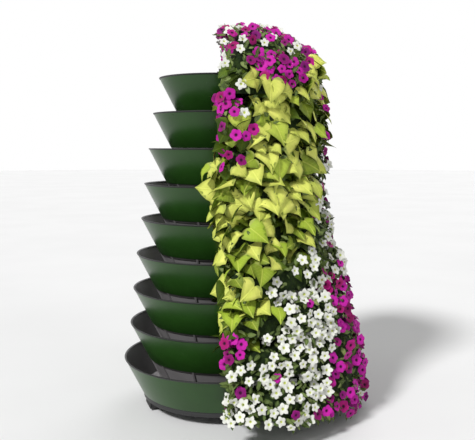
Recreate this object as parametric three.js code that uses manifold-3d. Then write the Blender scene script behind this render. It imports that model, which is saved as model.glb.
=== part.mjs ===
// Vertical planter tower: nine flared tiers on ribbed collars, stacked round a watering mast.
// Millimetres, +Z up. The origin is on the tower's axis at ground level, under the middle foot pad.
// The front faces -Y. The +X half is planted, and the pockets of the -X half are left bare.

import * as THREE from 'three';
import { mergeVertices } from 'three/addons/utils/BufferGeometryUtils.js';
import Module from 'manifold-3d';

const wasm = await Module();
wasm.setup();

// The stack of tiers, counted from the ground up
const bottomRimRadius = 500;
const rimRadiusShares = [1, 0.935, 0.902, 0.865, 0.815, 0.782, 0.734, 0.685, 0.62];
const tierCount = rimRadiusShares.length;
const tierPitch = 182;

// Sides of the round pieces, and how far a flat lies in from its corners
const ringSides = 36;
const discSides = 24;
const smallSides = 12;
const ringFlatShare = Math.cos(Math.PI / ringSides);
const discFlatShare = Math.cos(Math.PI / discSides);

// Gap between pieces that rest on each other, the overrun of every cut, and how near points are one
const seatGap = 0.3;
const cutOverrun = 2;
const mergeTolerance = 0.0001;

// Tier shells: a flared wall with a flange turned in at its foot
const shellHeight = 180;
const shellFlare = 92;
const shellWall = 5;
const flangeWidth = 20;
const flangeThickness = 4;

// Tier floors: loose discs that drop into the shells and rest on the flanges
const floorThickness = 8;
const floorEdgeClearance = 2;
const drainSlotCount = 6;
const drainSlotLength = 60;
const drainSlotWidth = 8;

// Support collars: conical walls with ribs that run down as legs
const collarWall = 5;
const collarSetback = 8;
const ribCount = 12;
const ribDepth = 7;
const ribWidth = 12;
const ribTurnDegrees = 11.3;
const weepHeight = 10;

// Watering mast and its cap
const mastRadius = 30;
const mastWall = 3;
const mastBoreClearance = 2;
const mastTopBelowRim = 35;
const outletWidth = 8;
const outletHeight = 12;
const capFitClearance = 0.5;
const capFlange = 6;
const capStem = 16;
const capKnobRadius = 11;
const capKnobHeight = 14;

// Base frame: two crossed hollow sections with a spigot for the mast
const armInset = 19;
const armWidth = 120;
const armHeight = 40;
const armWall = 3;
const armTurnDegrees = 18;
const spigotHeight = 60;
const spigotClearance = 0.5;
const endCapPlate = 4;
const endCapDepth = 22;
const endCapClearance = 0.3;

// Foot pads
const padRadius = 32;
const padHeight = 10;
const padInset = 34;
const armCount = 4;

// Drip tray and its drain plug
const trayHeight = 26;
const trayWall = 3;
const trayFloor = 3;
const traySetback = 6;
const trayCollarClearance = 3;
const plugTurnDegrees = 155;
const plugLevel = 12;
const plugStemRadius = 5;
const plugStemLength = 14;
const plugHeadRadius = 9;
const plugHeadThickness = 7;
const plugClearance = 0.4;

// Potting mix in the planted half
const mixFreeboard = 40;
const mixClearance = 1;
const mixCoreClearance = 6;
const mixSteps = 12;
const mixEndHeightShares = [0.35, 0.8];

// Plantings: a thin arching blanket of leaves that hangs over each rim
const leafBlanket = 20;
const foliageReach = 290;
const foliageReachShares = [0.98, 1.0, 0.94, 0.82, 0.73, 0.68, 0.75, 0.84, 0.92];
const foliageRise = 80;
const foliageCrown = 35;
const foliageShoulder = 40;
const foliageGap = 4;
const foliageClearance = 15;
const lumpDepth = 40;
const wideDents = 5;
const wideDentShift = 2.1;
const wideDentShare = 0.6;
const narrowDents = 11;
const narrowDentShift = 1.3;
const lowestLeafLevel = 100;
const underLeanShare = 0.7;
const underDropShare = 1.4;
const shoulderDropShare = 1.2;
const plantSteps = 15;
const plantFlatShare = Math.cos(Math.PI / 2 / plantSteps);

// The mound on the top tier, as shares of its reach and of its height
const moundHeight = 285;
const moundRadiusShares = [0.3, 0.58, 0.82, 0.96];
const moundHeightShares = [1, 0.9, 0.55, 0.1];
const moundLeanShares = [0.1, 0.45, 0.8, 1];
const moundCentreShare = 0.82;

// Levels of the stack, from the ground up
const frameLevel = padHeight + seatGap;
const trayLevel = frameLevel + armHeight + seatGap;
const firstShellLevel = trayLevel + trayHeight + seatGap;
const topTier = tierCount - 1;

const rimRadius = (tier) => bottomRimRadius * rimRadiusShares[tier];
const shellFootRadius = (tier) => rimRadius(tier) - shellFlare;
const shellLevel = (tier) => firstShellLevel + tier * tierPitch;
const rimLevel = (tier) => shellLevel(tier) + shellHeight;
const floorLevel = (tier) => shellLevel(tier) + flangeThickness + seatGap;
const floorTop = (tier) => floorLevel(tier) + floorThickness;
const mixTop = (tier) => rimLevel(tier) - mixFreeboard;
const mastTop = rimLevel(topTier) - mastTopBelowRim;

// The tray stays inside the foot of the lowest shell, and the arms end under the tray
const trayRadius = shellFootRadius(0) - traySetback;
const armReach = trayRadius - armInset;

// Radius of a shell's outer face at a level, and of its inner face
function shellRadiusAt(tier, level) {
  return shellFootRadius(tier) + (shellFlare * (level - shellLevel(tier))) / shellHeight;
}

function shellInsideAt(tier, level) {
  return shellRadiusAt(tier, level) - shellWall;
}

// Radius of a collar's outer face at a level: it carries on the slope of the shell above it
function collarRadiusAt(tier, level) {
  return shellRadiusAt(tier + 1, level) - collarSetback;
}

// Colours and finishes
function finish(colour, roughness, metalness) {
  return new THREE.MeshStandardMaterial({ color: colour, roughness, metalness });
}

const greenPlastic = finish(0x1f3f1a, 0.4, 0);
const greyPlastic = finish(0x3a3838, 0.55, 0);
const blackSteel = finish(0x141414, 0.5, 0.6);
const blackRubber = finish(0x0f0f0f, 0.9, 0);
const galvanised = finish(0x8a8d8f, 0.45, 0.8);
const pottingMix = finish(0x2b1d13, 0.95, 0);
const limeFoliage = finish(0x9fb52a, 0.6, 0);
const whiteFlowers = finish(0xd9dccb, 0.6, 0);
const magentaFlowers = finish(0xb0207c, 0.6, 0);

const tower = new THREE.Group();

function addPiece(name, geometry, material, parent = tower) {
  const mesh = new THREE.Mesh(geometry, material);
  mesh.name = name;
  parent.add(mesh);
  return mesh;
}

const degrees = (angle) => THREE.MathUtils.degToRad(angle);

// A three.js geometry as a solid for joining and cutting, and back again
function toSolid(geometry) {
  const bare = geometry.clone();
  bare.deleteAttribute('normal');
  bare.deleteAttribute('uv');
  const merged = mergeVertices(bare, mergeTolerance);
  const vertProperties = new Float32Array(merged.attributes.position.array);
  const triVerts = new Uint32Array(merged.index.array);
  return new wasm.Manifold(new wasm.Mesh({ numProp: 3, vertProperties, triVerts }));
}

function toGeometry(solid) {
  const mesh = solid.getMesh();
  const geometry = new THREE.BufferGeometry();
  geometry.setAttribute('position', new THREE.BufferAttribute(mesh.vertProperties, 3));
  geometry.setIndex(new THREE.BufferAttribute(mesh.triVerts, 1));
  geometry.computeVertexNormals();
  return geometry;
}

// A ring turned about Z from a closed outline of [radius, level] points
function turned(outline, sides) {
  const points = outline.map(([radius, level]) => new THREE.Vector2(radius, level));
  if (outline[0][0] > 0) {
    points.push(points[0].clone());
  }
  return new THREE.LatheGeometry(points, sides).rotateX(Math.PI / 2);
}

// A half ring round the planted side: one outline of [radius, level] points for each angle
function halfRing(outlineAt, steps) {
  const positions = [];
  const triangles = [];
  for (let step = 0; step <= steps; step += 1) {
    const angle = -Math.PI / 2 + (Math.PI * step) / steps;
    for (const [radius, level] of outlineAt(angle, step)) {
      positions.push(radius * Math.cos(angle), radius * Math.sin(angle), level);
    }
  }
  const count = positions.length / 3 / (steps + 1);
  for (let step = 0; step < steps; step += 1) {
    for (let point = 0; point < count; point += 1) {
      const next = (point + 1) % count;
      const near = step * count;
      const far = near + count;
      triangles.push(near + point, far + point, near + next);
      triangles.push(far + next, near + next, far + point);
    }
  }
  for (const [step, order] of [[0, 1], [steps, -1]]) {
    const angle = -Math.PI / 2 + (Math.PI * step) / steps;
    const outline = outlineAt(angle, step).map(([radius, level]) => new THREE.Vector2(radius, level));
    for (const face of THREE.ShapeUtils.triangulateShape(outline, [])) {
      const corners = order > 0 ? face : [...face].reverse();
      triangles.push(...corners.map((corner) => step * count + corner));
    }
  }
  const geometry = new THREE.BufferGeometry();
  geometry.setAttribute('position', new THREE.Float32BufferAttribute(positions, 3));
  geometry.setIndex(triangles);
  geometry.computeVertexNormals();
  return geometry;
}

// A flared shell with its floor flange
function tierShell(tier) {
  const foot = shellLevel(tier);
  const rim = rimLevel(tier);
  const flangeTop = foot + flangeThickness;
  return turned([
    [shellFootRadius(tier), foot],
    [rimRadius(tier), rim],
    [rimRadius(tier) - shellWall, rim],
    [shellInsideAt(tier, flangeTop), flangeTop],
    [shellFootRadius(tier) - flangeWidth, flangeTop],
    [shellFootRadius(tier) - flangeWidth, foot],
  ], ringSides);
}

// A floor disc with a bore for the mast and drain slots under the pockets
function tierFloor(tier) {
  const bottom = floorLevel(tier);
  const top = floorTop(tier);
  const bore = mastRadius + mastBoreClearance;
  const edgeAt = (level) => shellInsideAt(tier, level) * ringFlatShare - floorEdgeClearance;
  let disc = toSolid(turned([
    [edgeAt(bottom), bottom],
    [edgeAt(top), top],
    [bore, top],
    [bore, bottom],
  ], discSides));
  const pocketInside = tier < topTier ? collarRadiusAt(tier, top) + ribDepth : bore;
  const pocketOutside = shellFootRadius(tier) - flangeWidth;
  const slotRadius = (pocketInside + pocketOutside) / 2;
  for (let slot = 0; slot < drainSlotCount; slot += 1) {
    const angle = (2 * Math.PI * slot) / drainSlotCount;
    const cut = new THREE.BoxGeometry(drainSlotWidth, drainSlotLength, floorThickness + cutOverrun);
    cut.translate(slotRadius, 0, (bottom + top) / 2);
    cut.rotateZ(angle);
    disc = disc.subtract(toSolid(cut));
  }
  return toGeometry(disc);
}

// A conical collar whose ribs stand on the floor below and carry the shell above
function supportCollar(tier) {
  const foot = floorTop(tier) + seatGap;
  const top = shellLevel(tier + 1) - seatGap;
  const wallFoot = foot + weepHeight;
  let collar = toSolid(turned([
    [collarRadiusAt(tier, wallFoot), wallFoot],
    [collarRadiusAt(tier, top), top],
    [collarRadiusAt(tier, top) - collarWall, top],
    [collarRadiusAt(tier, wallFoot) - collarWall, wallFoot],
  ], discSides));
  const sunk = collarWall / 2 + collarRadiusAt(tier, top) * (1 - discFlatShare);
  const side = new THREE.Shape([
    new THREE.Vector2(collarRadiusAt(tier, foot) - sunk, foot),
    new THREE.Vector2(collarRadiusAt(tier, foot) + ribDepth, foot),
    new THREE.Vector2(collarRadiusAt(tier, top) + ribDepth, top),
    new THREE.Vector2(collarRadiusAt(tier, top) - sunk, top),
  ]);
  for (let rib = 0; rib < ribCount; rib += 1) {
    const bar = new THREE.ExtrudeGeometry(side, { depth: ribWidth, bevelEnabled: false });
    bar.translate(0, 0, -ribWidth / 2);
    bar.rotateX(Math.PI / 2);
    bar.rotateZ((2 * Math.PI * (rib + 1 / 4)) / ribCount);
    collar = collar.add(toSolid(bar));
  }
  return toGeometry(collar);
}

// Potting mix between a collar and its shell, slumped at both ends of the half ring
function mixHalfRing(tier) {
  const bottom = floorTop(tier) + seatGap;
  const outside = (level) => shellInsideAt(tier, level) * ringFlatShare - mixClearance;
  const inside = (level) => {
    const core = tier < topTier ? collarRadiusAt(tier, level) + ribDepth : mastRadius;
    return (core + mixCoreClearance) / discFlatShare;
  };
  return halfRing((angle, step) => {
    const fromEnd = Math.min(step, mixSteps - step);
    const share = mixEndHeightShares[fromEnd] ?? 1;
    const top = bottom + (mixTop(tier) - bottom) * share;
    return [
      [outside(bottom), bottom],
      [outside(top), top],
      [inside(top), top],
      [inside(bottom), bottom],
    ];
  }, mixSteps);
}

// How deep the foliage is dented at an angle, from 0 to 1: two waves that shift from tier to tier
function dent(tier, angle) {
  const wide = Math.cos(wideDents * angle + wideDentShift * tier);
  const narrow = Math.cos(narrowDents * angle - narrowDentShift * tier);
  return (1 - wideDentShare * wide - (1 - wideDentShare) * narrow) / 2;
}

// Outermost radius of a tier's foliage before it is dented
function foliageRadius(tier) {
  return rimRadius(tier) + foliageReach * foliageReachShares[tier];
}

// The foliage's top corner beside the shell above
function foliageInnerTop(tier) {
  const level = rimLevel(tier) + foliageRise;
  return [(shellRadiusAt(tier + 1, level) + foliageClearance) / plantFlatShare, level];
}

// Level of a tier's foliage at a radius, seen from above
function foliageCoverAt(tier, radius) {
  const [innerRadius, innerLevel] = foliageInnerTop(tier);
  const shoulderRadius = foliageRadius(tier) - foliageShoulder;
  const crownLevel = rimLevel(tier) + foliageCrown;
  const along = THREE.MathUtils.clamp((radius - innerRadius) / (shoulderRadius - innerRadius), 0, 1);
  return THREE.MathUtils.lerp(innerLevel, crownLevel, along);
}

// The lowest level that a tier's foliage hangs to, just above the foliage below
function foliageHem(tier, innerRadius) {
  if (tier === 0) {
    return lowestLeafLevel;
  }
  return foliageCoverAt(tier - 1, innerRadius) + foliageGap;
}

// Foliage of a tier that has another above it: up from the mix, over the rim and down outside
function drapedPlanting(tier) {
  const rootRadius = (shellRadiusAt(tier + 1, mixTop(tier)) + foliageClearance) / plantFlatShare;
  const rootLevel = mixTop(tier) + seatGap;
  const [topRadius, topLevel] = foliageInnerTop(tier);
  const crownLevel = rimLevel(tier) + foliageCrown;
  return halfRing((angle) => {
    const outer = foliageRadius(tier) - lumpDepth * dent(tier, angle);
    const shoulder = outer - foliageShoulder;
    const hem = foliageHem(tier, outer - leafBlanket - lumpDepth);
    return [
      [rootRadius, rootLevel],
      [rootRadius + leafBlanket, rootLevel],
      [topRadius + leafBlanket * underLeanShare, topLevel - leafBlanket * underDropShare],
      [shoulder - leafBlanket, crownLevel - leafBlanket * shoulderDropShare],
      [outer - leafBlanket, hem],
      [outer, hem],
      [shoulder, crownLevel],
      [topRadius, topLevel],
    ];
  }, plantSteps);
}

// Foliage of the top tier: a half mound beside the mast
function moundPlanting(tier) {
  const rootRadius = (mastRadius + foliageClearance) / plantFlatShare;
  const rootLevel = mixTop(tier) + seatGap;
  const rim = rimLevel(tier);
  return halfRing((angle) => {
    const outer = foliageRadius(tier) - lumpDepth * dent(tier, angle);
    const hem = foliageHem(tier, outer - leafBlanket - lumpDepth);
    const over = moundRadiusShares.map((share, i) => [
      outer * share,
      rim + moundHeight * moundHeightShares[i],
    ]);
    const under = over.map(([radius, level], i) => [
      radius - leafBlanket * moundLeanShares[i],
      level - leafBlanket * (shoulderDropShare - moundLeanShares[i]),
    ]);
    const centreLevel = rim + moundHeight * moundCentreShare;
    return [
      [rootRadius, rootLevel],
      [rootRadius + leafBlanket, rootLevel],
      [rootRadius + leafBlanket, centreLevel - leafBlanket],
      ...under,
      [outer - leafBlanket, hem],
      [outer, hem],
      ...over.reverse(),
      [rootRadius, centreLevel],
    ];
  }, plantSteps);
}

// The mast: a pipe with a pair of water outlets above each floor
function wateringMast() {
  const foot = trayLevel;
  let pipe = toSolid(turned([
    [mastRadius, foot],
    [mastRadius, mastTop],
    [mastRadius - mastWall, mastTop],
    [mastRadius - mastWall, foot],
  ], discSides));
  for (let tier = 0; tier < tierCount; tier += 1) {
    const cut = new THREE.BoxGeometry(2 * (mastRadius + cutOverrun), outletWidth, outletHeight);
    cut.rotateZ((tier % 2) * Math.PI / 2);
    cut.translate(0, 0, (floorTop(tier) + mixTop(tier)) / 2);
    pipe = pipe.subtract(toSolid(cut));
  }
  return toGeometry(pipe);
}

function wateringCap() {
  const seat = mastTop + seatGap;
  const stemRadius = mastRadius - mastWall - capFitClearance;
  return turned([
    [0, seat - capStem],
    [stemRadius, seat - capStem],
    [stemRadius, seat],
    [mastRadius, seat],
    [mastRadius, seat + capFlange],
    [capKnobRadius, seat + capFlange],
    [capKnobRadius, seat + capFlange + capKnobHeight],
    [0, seat + capFlange + capKnobHeight],
  ], discSides);
}

// Two crossed hollow sections, open at their four ends, with the mast's spigot on top
function baseFrame() {
  const tube = (length, width, height) => {
    const along = toSolid(new THREE.BoxGeometry(length, width, height));
    const across = toSolid(new THREE.BoxGeometry(width, length, height));
    return along.add(across);
  };
  const outside = tube(2 * armReach, armWidth, armHeight);
  const inside = tube(2 * (armReach + cutOverrun), armWidth - 2 * armWall, armHeight - 2 * armWall);
  const spigotRadius = mastRadius - mastWall - spigotClearance;
  const spigot = toSolid(turned([
    [0, armHeight / 2 - armWall / 2],
    [spigotRadius, armHeight / 2 - armWall / 2],
    [spigotRadius, armHeight / 2 + spigotHeight],
    [0, armHeight / 2 + spigotHeight],
  ], discSides));
  return toGeometry(outside.subtract(inside).add(spigot));
}

// An end cap: a plate over the arm's end and a plug that fits inside it
function armEndCap() {
  const plugWidth = armWidth - 2 * armWall - 2 * endCapClearance;
  const plugHeight = armHeight - 2 * armWall - 2 * endCapClearance;
  const plate = new THREE.BoxGeometry(endCapPlate, armWidth, armHeight);
  plate.translate(armReach + seatGap + endCapPlate / 2, 0, 0);
  const plug = new THREE.BoxGeometry(endCapDepth, plugWidth, plugHeight);
  plug.translate(armReach + seatGap + endCapPlate / 2 - endCapDepth / 2, 0, 0);
  return toGeometry(toSolid(plate).add(toSolid(plug)));
}

// A shallow tray with an upstand round the mast and a hole for the drain plug
function dripTray() {
  const upstand = mastRadius + trayCollarClearance;
  const top = trayLevel + trayHeight;
  const inside = trayLevel + trayFloor;
  const tray = toSolid(turned([
    [trayRadius, trayLevel],
    [trayRadius, top],
    [trayRadius - trayWall, top],
    [trayRadius - trayWall, inside],
    [upstand + trayWall, inside],
    [upstand + trayWall, top],
    [upstand, top],
    [upstand, trayLevel],
  ], ringSides));
  const hole = new THREE.CylinderGeometry(
    plugStemRadius + plugClearance,
    plugStemRadius + plugClearance,
    plugStemLength * 2,
    smallSides,
  );
  hole.rotateZ(Math.PI / 2);
  hole.translate(trayRadius * ringFlatShare, 0, trayLevel + plugLevel);
  hole.rotateZ(degrees(plugTurnDegrees));
  return toGeometry(tray.subtract(toSolid(hole)));
}

// The plug's head lies against the tray's wall, with its stem through the hole
function drainPlug() {
  const wallFace = trayRadius * ringFlatShare + seatGap;
  const plug = new THREE.LatheGeometry([
    new THREE.Vector2(0, -plugStemLength),
    new THREE.Vector2(plugStemRadius, -plugStemLength),
    new THREE.Vector2(plugStemRadius, 0),
    new THREE.Vector2(plugHeadRadius, 0),
    new THREE.Vector2(plugHeadRadius, plugHeadThickness),
    new THREE.Vector2(0, plugHeadThickness),
  ], smallSides);
  plug.rotateZ(-Math.PI / 2);
  plug.translate(wallFace, 0, trayLevel + plugLevel);
  return plug.rotateZ(degrees(plugTurnDegrees));
}

// The base, from the ground up
const base = new THREE.Group();
base.rotation.z = degrees(armTurnDegrees);
base.position.z = frameLevel + armHeight / 2;
tower.add(base);
addPiece('base_frame', baseFrame(), blackSteel, base);
for (let arm = 0; arm < armCount; arm += 1) {
  const cap = addPiece(`arm_end_cap_${arm + 1}`, armEndCap(), blackRubber, base);
  cap.rotation.z = (arm * Math.PI) / 2;
}
for (let pad = 0; pad <= armCount; pad += 1) {
  const disc = new THREE.CylinderGeometry(padRadius, padRadius, padHeight, smallSides);
  disc.rotateX(Math.PI / 2);
  const reach = pad < armCount ? armReach - padInset : 0;
  const angle = degrees(armTurnDegrees) + (pad * Math.PI) / 2;
  const mesh = addPiece(pad < armCount ? `foot_pad_${pad + 1}` : 'foot_pad_middle', disc, blackRubber);
  mesh.position.set(reach * Math.cos(angle), reach * Math.sin(angle), padHeight / 2);
}
addPiece('drip_tray', dripTray(), greyPlastic);
addPiece('drain_plug', drainPlug(), blackRubber);
addPiece('watering_mast', wateringMast(), galvanised);
addPiece('watering_cap', wateringCap(), greyPlastic);

// The tiers, each with the collar that carries the next one
const flowering = [magentaFlowers, whiteFlowers, whiteFlowers, limeFoliage, limeFoliage,
  limeFoliage, limeFoliage, magentaFlowers, magentaFlowers];
for (let tier = 0; tier < tierCount; tier += 1) {
  addPiece(`tier_shell_${tier + 1}`, tierShell(tier), greenPlastic);
  addPiece(`tier_floor_${tier + 1}`, tierFloor(tier), greyPlastic);
  addPiece(`potting_mix_${tier + 1}`, mixHalfRing(tier), pottingMix);
  const foliage = tier < topTier ? drapedPlanting(tier) : moundPlanting(tier);
  addPiece(`planting_${tier + 1}`, foliage, flowering[tier]);
  if (tier < topTier) {
    const collar = addPiece(`support_collar_${tier + 1}`, supportCollar(tier), greyPlastic);
    collar.rotation.z = degrees(ribTurnDegrees) - Math.PI / 2 / ribCount;
  }
}

export default tower;
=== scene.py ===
"""A vertical planter tower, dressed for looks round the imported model. Metres, +Z up, the front faces -Y.

The +X half is planted and the -X half is bare. Angles round the tower are counted in degrees from the
front, 90 on the planted side. Tiers are counted from the ground up, from 1.
"""

import math

import bmesh
import bpy
import numpy as np
from bpy.props import FloatProperty, FloatVectorProperty, IntProperty, PointerProperty
from mathutils import Matrix, Vector, noise

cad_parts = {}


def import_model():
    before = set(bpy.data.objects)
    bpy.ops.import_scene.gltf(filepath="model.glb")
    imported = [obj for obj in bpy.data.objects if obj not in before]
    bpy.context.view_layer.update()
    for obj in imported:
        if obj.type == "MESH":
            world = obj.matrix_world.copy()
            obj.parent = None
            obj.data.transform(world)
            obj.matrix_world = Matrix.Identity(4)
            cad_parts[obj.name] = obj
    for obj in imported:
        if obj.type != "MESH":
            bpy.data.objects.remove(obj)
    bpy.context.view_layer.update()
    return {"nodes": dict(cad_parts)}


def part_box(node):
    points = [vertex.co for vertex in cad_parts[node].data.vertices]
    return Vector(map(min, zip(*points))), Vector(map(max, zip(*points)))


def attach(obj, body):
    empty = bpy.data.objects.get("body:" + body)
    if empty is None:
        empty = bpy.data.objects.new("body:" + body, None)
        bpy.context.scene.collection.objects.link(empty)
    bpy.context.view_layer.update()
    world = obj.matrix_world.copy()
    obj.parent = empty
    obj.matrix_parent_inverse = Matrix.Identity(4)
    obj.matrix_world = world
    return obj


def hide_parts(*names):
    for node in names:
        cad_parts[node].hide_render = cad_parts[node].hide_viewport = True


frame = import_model()
BOX = {node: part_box(node) for node in frame["nodes"]}

bl_info = {
    "name": "Vertical planter tower",
    "version": (1, 0, 0),
    "blender": (4, 5, 0),
    "location": "3D View > Sidebar > Planter",
    "description": "Builds the shells, plants and flowers of a stacked planter tower",
    "category": "Object",
}

TOP_TIER = 9
TIERS = range(1, TOP_TIER + 1)
ARMS = range(1, 5)


def length(name, description, default):
    return FloatProperty(name=name, description=description, default=default, unit="LENGTH", precision=4)


def number(name, description, default, subtype="NONE"):
    return FloatProperty(name=name, description=description, default=default, subtype=subtype)


def turn_of(name, description, degrees):
    return number(name, description, math.radians(degrees), "ANGLE")


def colour(name, description, default):
    return FloatVectorProperty(
        name=name, description=description, default=default, size=3, min=0, max=1, subtype="COLOR")


class PlanterShellSettings(bpy.types.PropertyGroup):
    segments: IntProperty(name="Segments", description="Flats round each shell", default=160, min=24)
    flare: length("Flare", "How far the rim reaches beyond the foot", 0.092)
    wall: length("Wall", "Thickness of the shell", 0.005)
    flange_width: length("Flange width", "How far the flange at the foot turns in", 0.020)
    flange_thickness: length("Flange thickness", "Height of the flange at the foot", 0.004)
    bead_reach: length("Bead reach", "How far the rim's bead stands out of the wall", 0.0022)
    bead_height: length("Bead height", "Height of the rim's bead", 0.0075)
    edge: length("Edge radius", "Rounding of the shell's corners", 0.0018)
    floor_clearance: length("Floor clearance", "Gap between a floor disc and its shell", 0.002)
    slot_length: length("Slot length", "Length of a drain slot", 0.060)
    slot_width: length("Slot width", "Width of a drain slot", 0.008)
    slots: IntProperty(name="Slots", description="Drain slots in each floor disc", default=6, min=1)
    green: colour("Outside", "Green of the outer faces", (0.0165, 0.064, 0.0080))
    grey: colour("Inside", "Dark grey of the inner faces", (0.086, 0.083, 0.084))
    rim: colour("Rim", "Near black of the rim's bead", (0.013, 0.013, 0.013))


class PlanterCollarSettings(bpy.types.PropertyGroup):
    wall: length("Wall", "Thickness of the collar", 0.005)
    setback: length("Setback", "How far the collar lies inside the slope of the shell above", 0.008)
    lip_height: length("Lip height", "Height of the lip under the shell's foot", 0.009)
    lip_reach: length("Lip reach", "How far the lip stands out", 0.0045)
    groove_height: length("Groove height", "Height of the groove under the lip", 0.006)
    groove_depth: length("Groove depth", "How far the groove lies in", 0.0022)
    weep: length("Weep gap", "Gap under the wall that lets water through", 0.010)
    ribs: IntProperty(name="Ribs", description="Ribs round a collar, which run down as legs", default=12)
    rib_width: length("Rib width", "Width of a rib", 0.012)
    rib_depth: length("Rib depth", "How far a rib stands out of the wall", 0.007)
    rib_edge: length("Rib edge", "Rounding of a rib's outer corners", 0.0025)
    rib_turn: turn_of("Rib turn", "Angle from +X to the first rib", 11.3)
    grey: colour("Grey", "Colour of the collars and floors", (0.200, 0.190, 0.194))


class PlanterBaseSettings(bpy.types.PropertyGroup):
    tray_wall: length("Tray wall", "Thickness of the drip tray", 0.003)
    tray_lip: length("Tray lip", "How far the tray's rolled rim turns in", 0.003)
    upstand: length("Upstand", "Radius of the tray's upstand round the mast", 0.033)
    frame_edge: length("Frame edge", "Rounding of the hollow sections", 0.004)
    pad_groove: length("Pad groove", "Depth of the groove round a foot pad", 0.0015)
    plug_turn: turn_of("Plug turn", "Angle from +X to the drain plug", 155)
    plug_level: length("Plug level", "Height of the plug's axis above the tray's underside", 0.012)
    mast_wall: length("Mast wall", "Thickness of the watering mast", 0.003)
    outlet_width: length("Outlet width", "Width of a water outlet", 0.008)
    outlet_height: length("Outlet height", "Height of a water outlet", 0.012)
    black: colour("Black", "Powder coat of the base frame", (0.012, 0.012, 0.0125))
    tray: colour("Tray", "Anthracite of the drip tray and the cap", (0.020, 0.020, 0.021))
    rubber: colour("Rubber", "Colour of the pads, end caps and plug", (0.010, 0.010, 0.010))
    zinc: colour("Zinc", "Colour of the galvanised mast", (0.42, 0.43, 0.44))


class PlanterFoliageSettings(bpy.types.PropertyGroup):
    under_inset: length("Undergrowth inset", "How far the dark undergrowth lies behind the leaves", 0.038)
    shell_gap: length("Shell gap", "Gap between the undergrowth and a shell", 0.006)
    mix_freeboard: length("Mix freeboard", "How far the potting mix lies below the rim", 0.040)
    vine_length: length("Vine leaf length", "Usual length of a lime vine leaf", 0.122)
    vine_spacing: length("Vine spacing", "Least gap between the vine leaves' middles", 0.053)
    shade_spacing: length("Shade spacing", "Least gap between the shaded vine leaves", 0.054)
    leaf_length: length("Small leaf length", "Usual length of a petunia leaf", 0.036)
    leaf_spacing: length("Small leaf spacing", "Least gap between the small leaves' middles", 0.019)
    lime: colour("Lime", "Sunny face of the vine leaves", (0.82, 0.83, 0.185))
    fresh: colour("Fresh green", "Face of the greener vine leaves", (0.375, 0.505, 0.045))
    # Painted shade: the dark green that stands for the shade on the vine leaves' backs and in the shaded vine
    # leaves
    lime_shade: colour("Lime shade", "Back of the vine leaves", (0.080, 0.135, 0.008))
    green: colour("Leaf green", "Face of the small leaves", (0.170, 0.240, 0.065))
    tip_green: colour("Tip green", "Pale young leaves and bracts", (0.40, 0.48, 0.17))
    # Painted shade: the dark green that stands for the shade on the small leaves' backs, in the darkest small
    # leaves and in the undergrowth
    deep_green: colour("Deep green", "Back of the small leaves", (0.036, 0.066, 0.012))
    # Painted shade: the near black of the undergrowth stands for the deep shade between the leaves
    gloom: colour("Gloom", "Undergrowth between the leaves", (0.010, 0.020, 0.006))
    soil: colour("Soil", "Potting mix", (0.045, 0.028, 0.018))


class PlanterFlowerSettings(bpy.types.PropertyGroup):
    white_width: length("White bloom width", "Usual width of a white petunia", 0.052)
    white_spacing: length("White spacing", "Least gap between white blooms", 0.042)
    magenta_width: length("Magenta bloom width", "Usual width of a magenta petunia", 0.052)
    magenta_spacing: length("Magenta spacing", "Least gap between magenta blooms", 0.040)
    white: colour("White", "Petals of the white petunias", (0.84, 0.85, 0.78))
    white_throat: colour("White throat", "Throat of the white petunias", (0.46, 0.52, 0.09))
    magenta: colour("Magenta", "Petals of the magenta petunias", (0.60, 0.016, 0.40))
    crimson: colour("Crimson", "Petals of the redder petunias", (0.42, 0.008, 0.14))
    purple: colour("Purple", "Petals of the darkest petunias", (0.16, 0.004, 0.13))
    magenta_throat: colour("Magenta throat", "Throat of the magenta petunias", (0.035, 0.001, 0.022))
    stalk: colour("Stalk", "Tubes and stalks of the blooms", (0.20, 0.27, 0.075))


class PlanterStageSettings(bpy.types.PropertyGroup):
    camera_side: length("Camera side", "How far the camera stands to +X of the tower's axis", 0.0981)
    camera_distance: length("Camera distance", "From the camera to the tower's axis", 3.731)
    camera_height: length("Camera height", "Height of the camera above the floor", 1.3527)
    camera_pitch: turn_of("Camera pitch", "How far the camera looks down", 3.562)
    camera_shift: number("Shift", "Vertical shift of the lens", -0.06)
    lens: number("Lens", "Focal length in millimetres", 53.502)
    floor_radius: length("Floor radius", "Radius of the floor", 40)
    sun_strength: number("Sun", "Strength of the soft key light", 2.9)
    sun_size: turn_of("Sun size", "Angular size of the key light", 10)
    fill_strength: number("Fill", "Strength of the fill light", 0.35)
    back_strength: number("Back", "Strength of the light from behind", 0.8)
    sky: number("Sky", "Strength of the light from all round", 0.34, "FACTOR")
    floor: colour("Floor", "Colour of the floor", (0.82, 0.82, 0.82))
    backdrop: colour("Backdrop", "Colour behind the tower", (1, 1, 1))


class PlanterSettings(bpy.types.PropertyGroup):
    shell: PointerProperty(name="Shells", description="Shells and floors", type=PlanterShellSettings)
    collar: PointerProperty(name="Collars", description="Collars", type=PlanterCollarSettings)
    base: PointerProperty(name="Base", description="Frame, tray and mast", type=PlanterBaseSettings)
    foliage: PointerProperty(name="Foliage", description="Leaves", type=PlanterFoliageSettings)
    flower: PointerProperty(name="Flowers", description="Petunias", type=PlanterFlowerSettings)
    stage: PointerProperty(name="Stage", description="Camera and lights", type=PlanterStageSettings)


def settings():
    return bpy.context.scene.planter


# Shader maths

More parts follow.
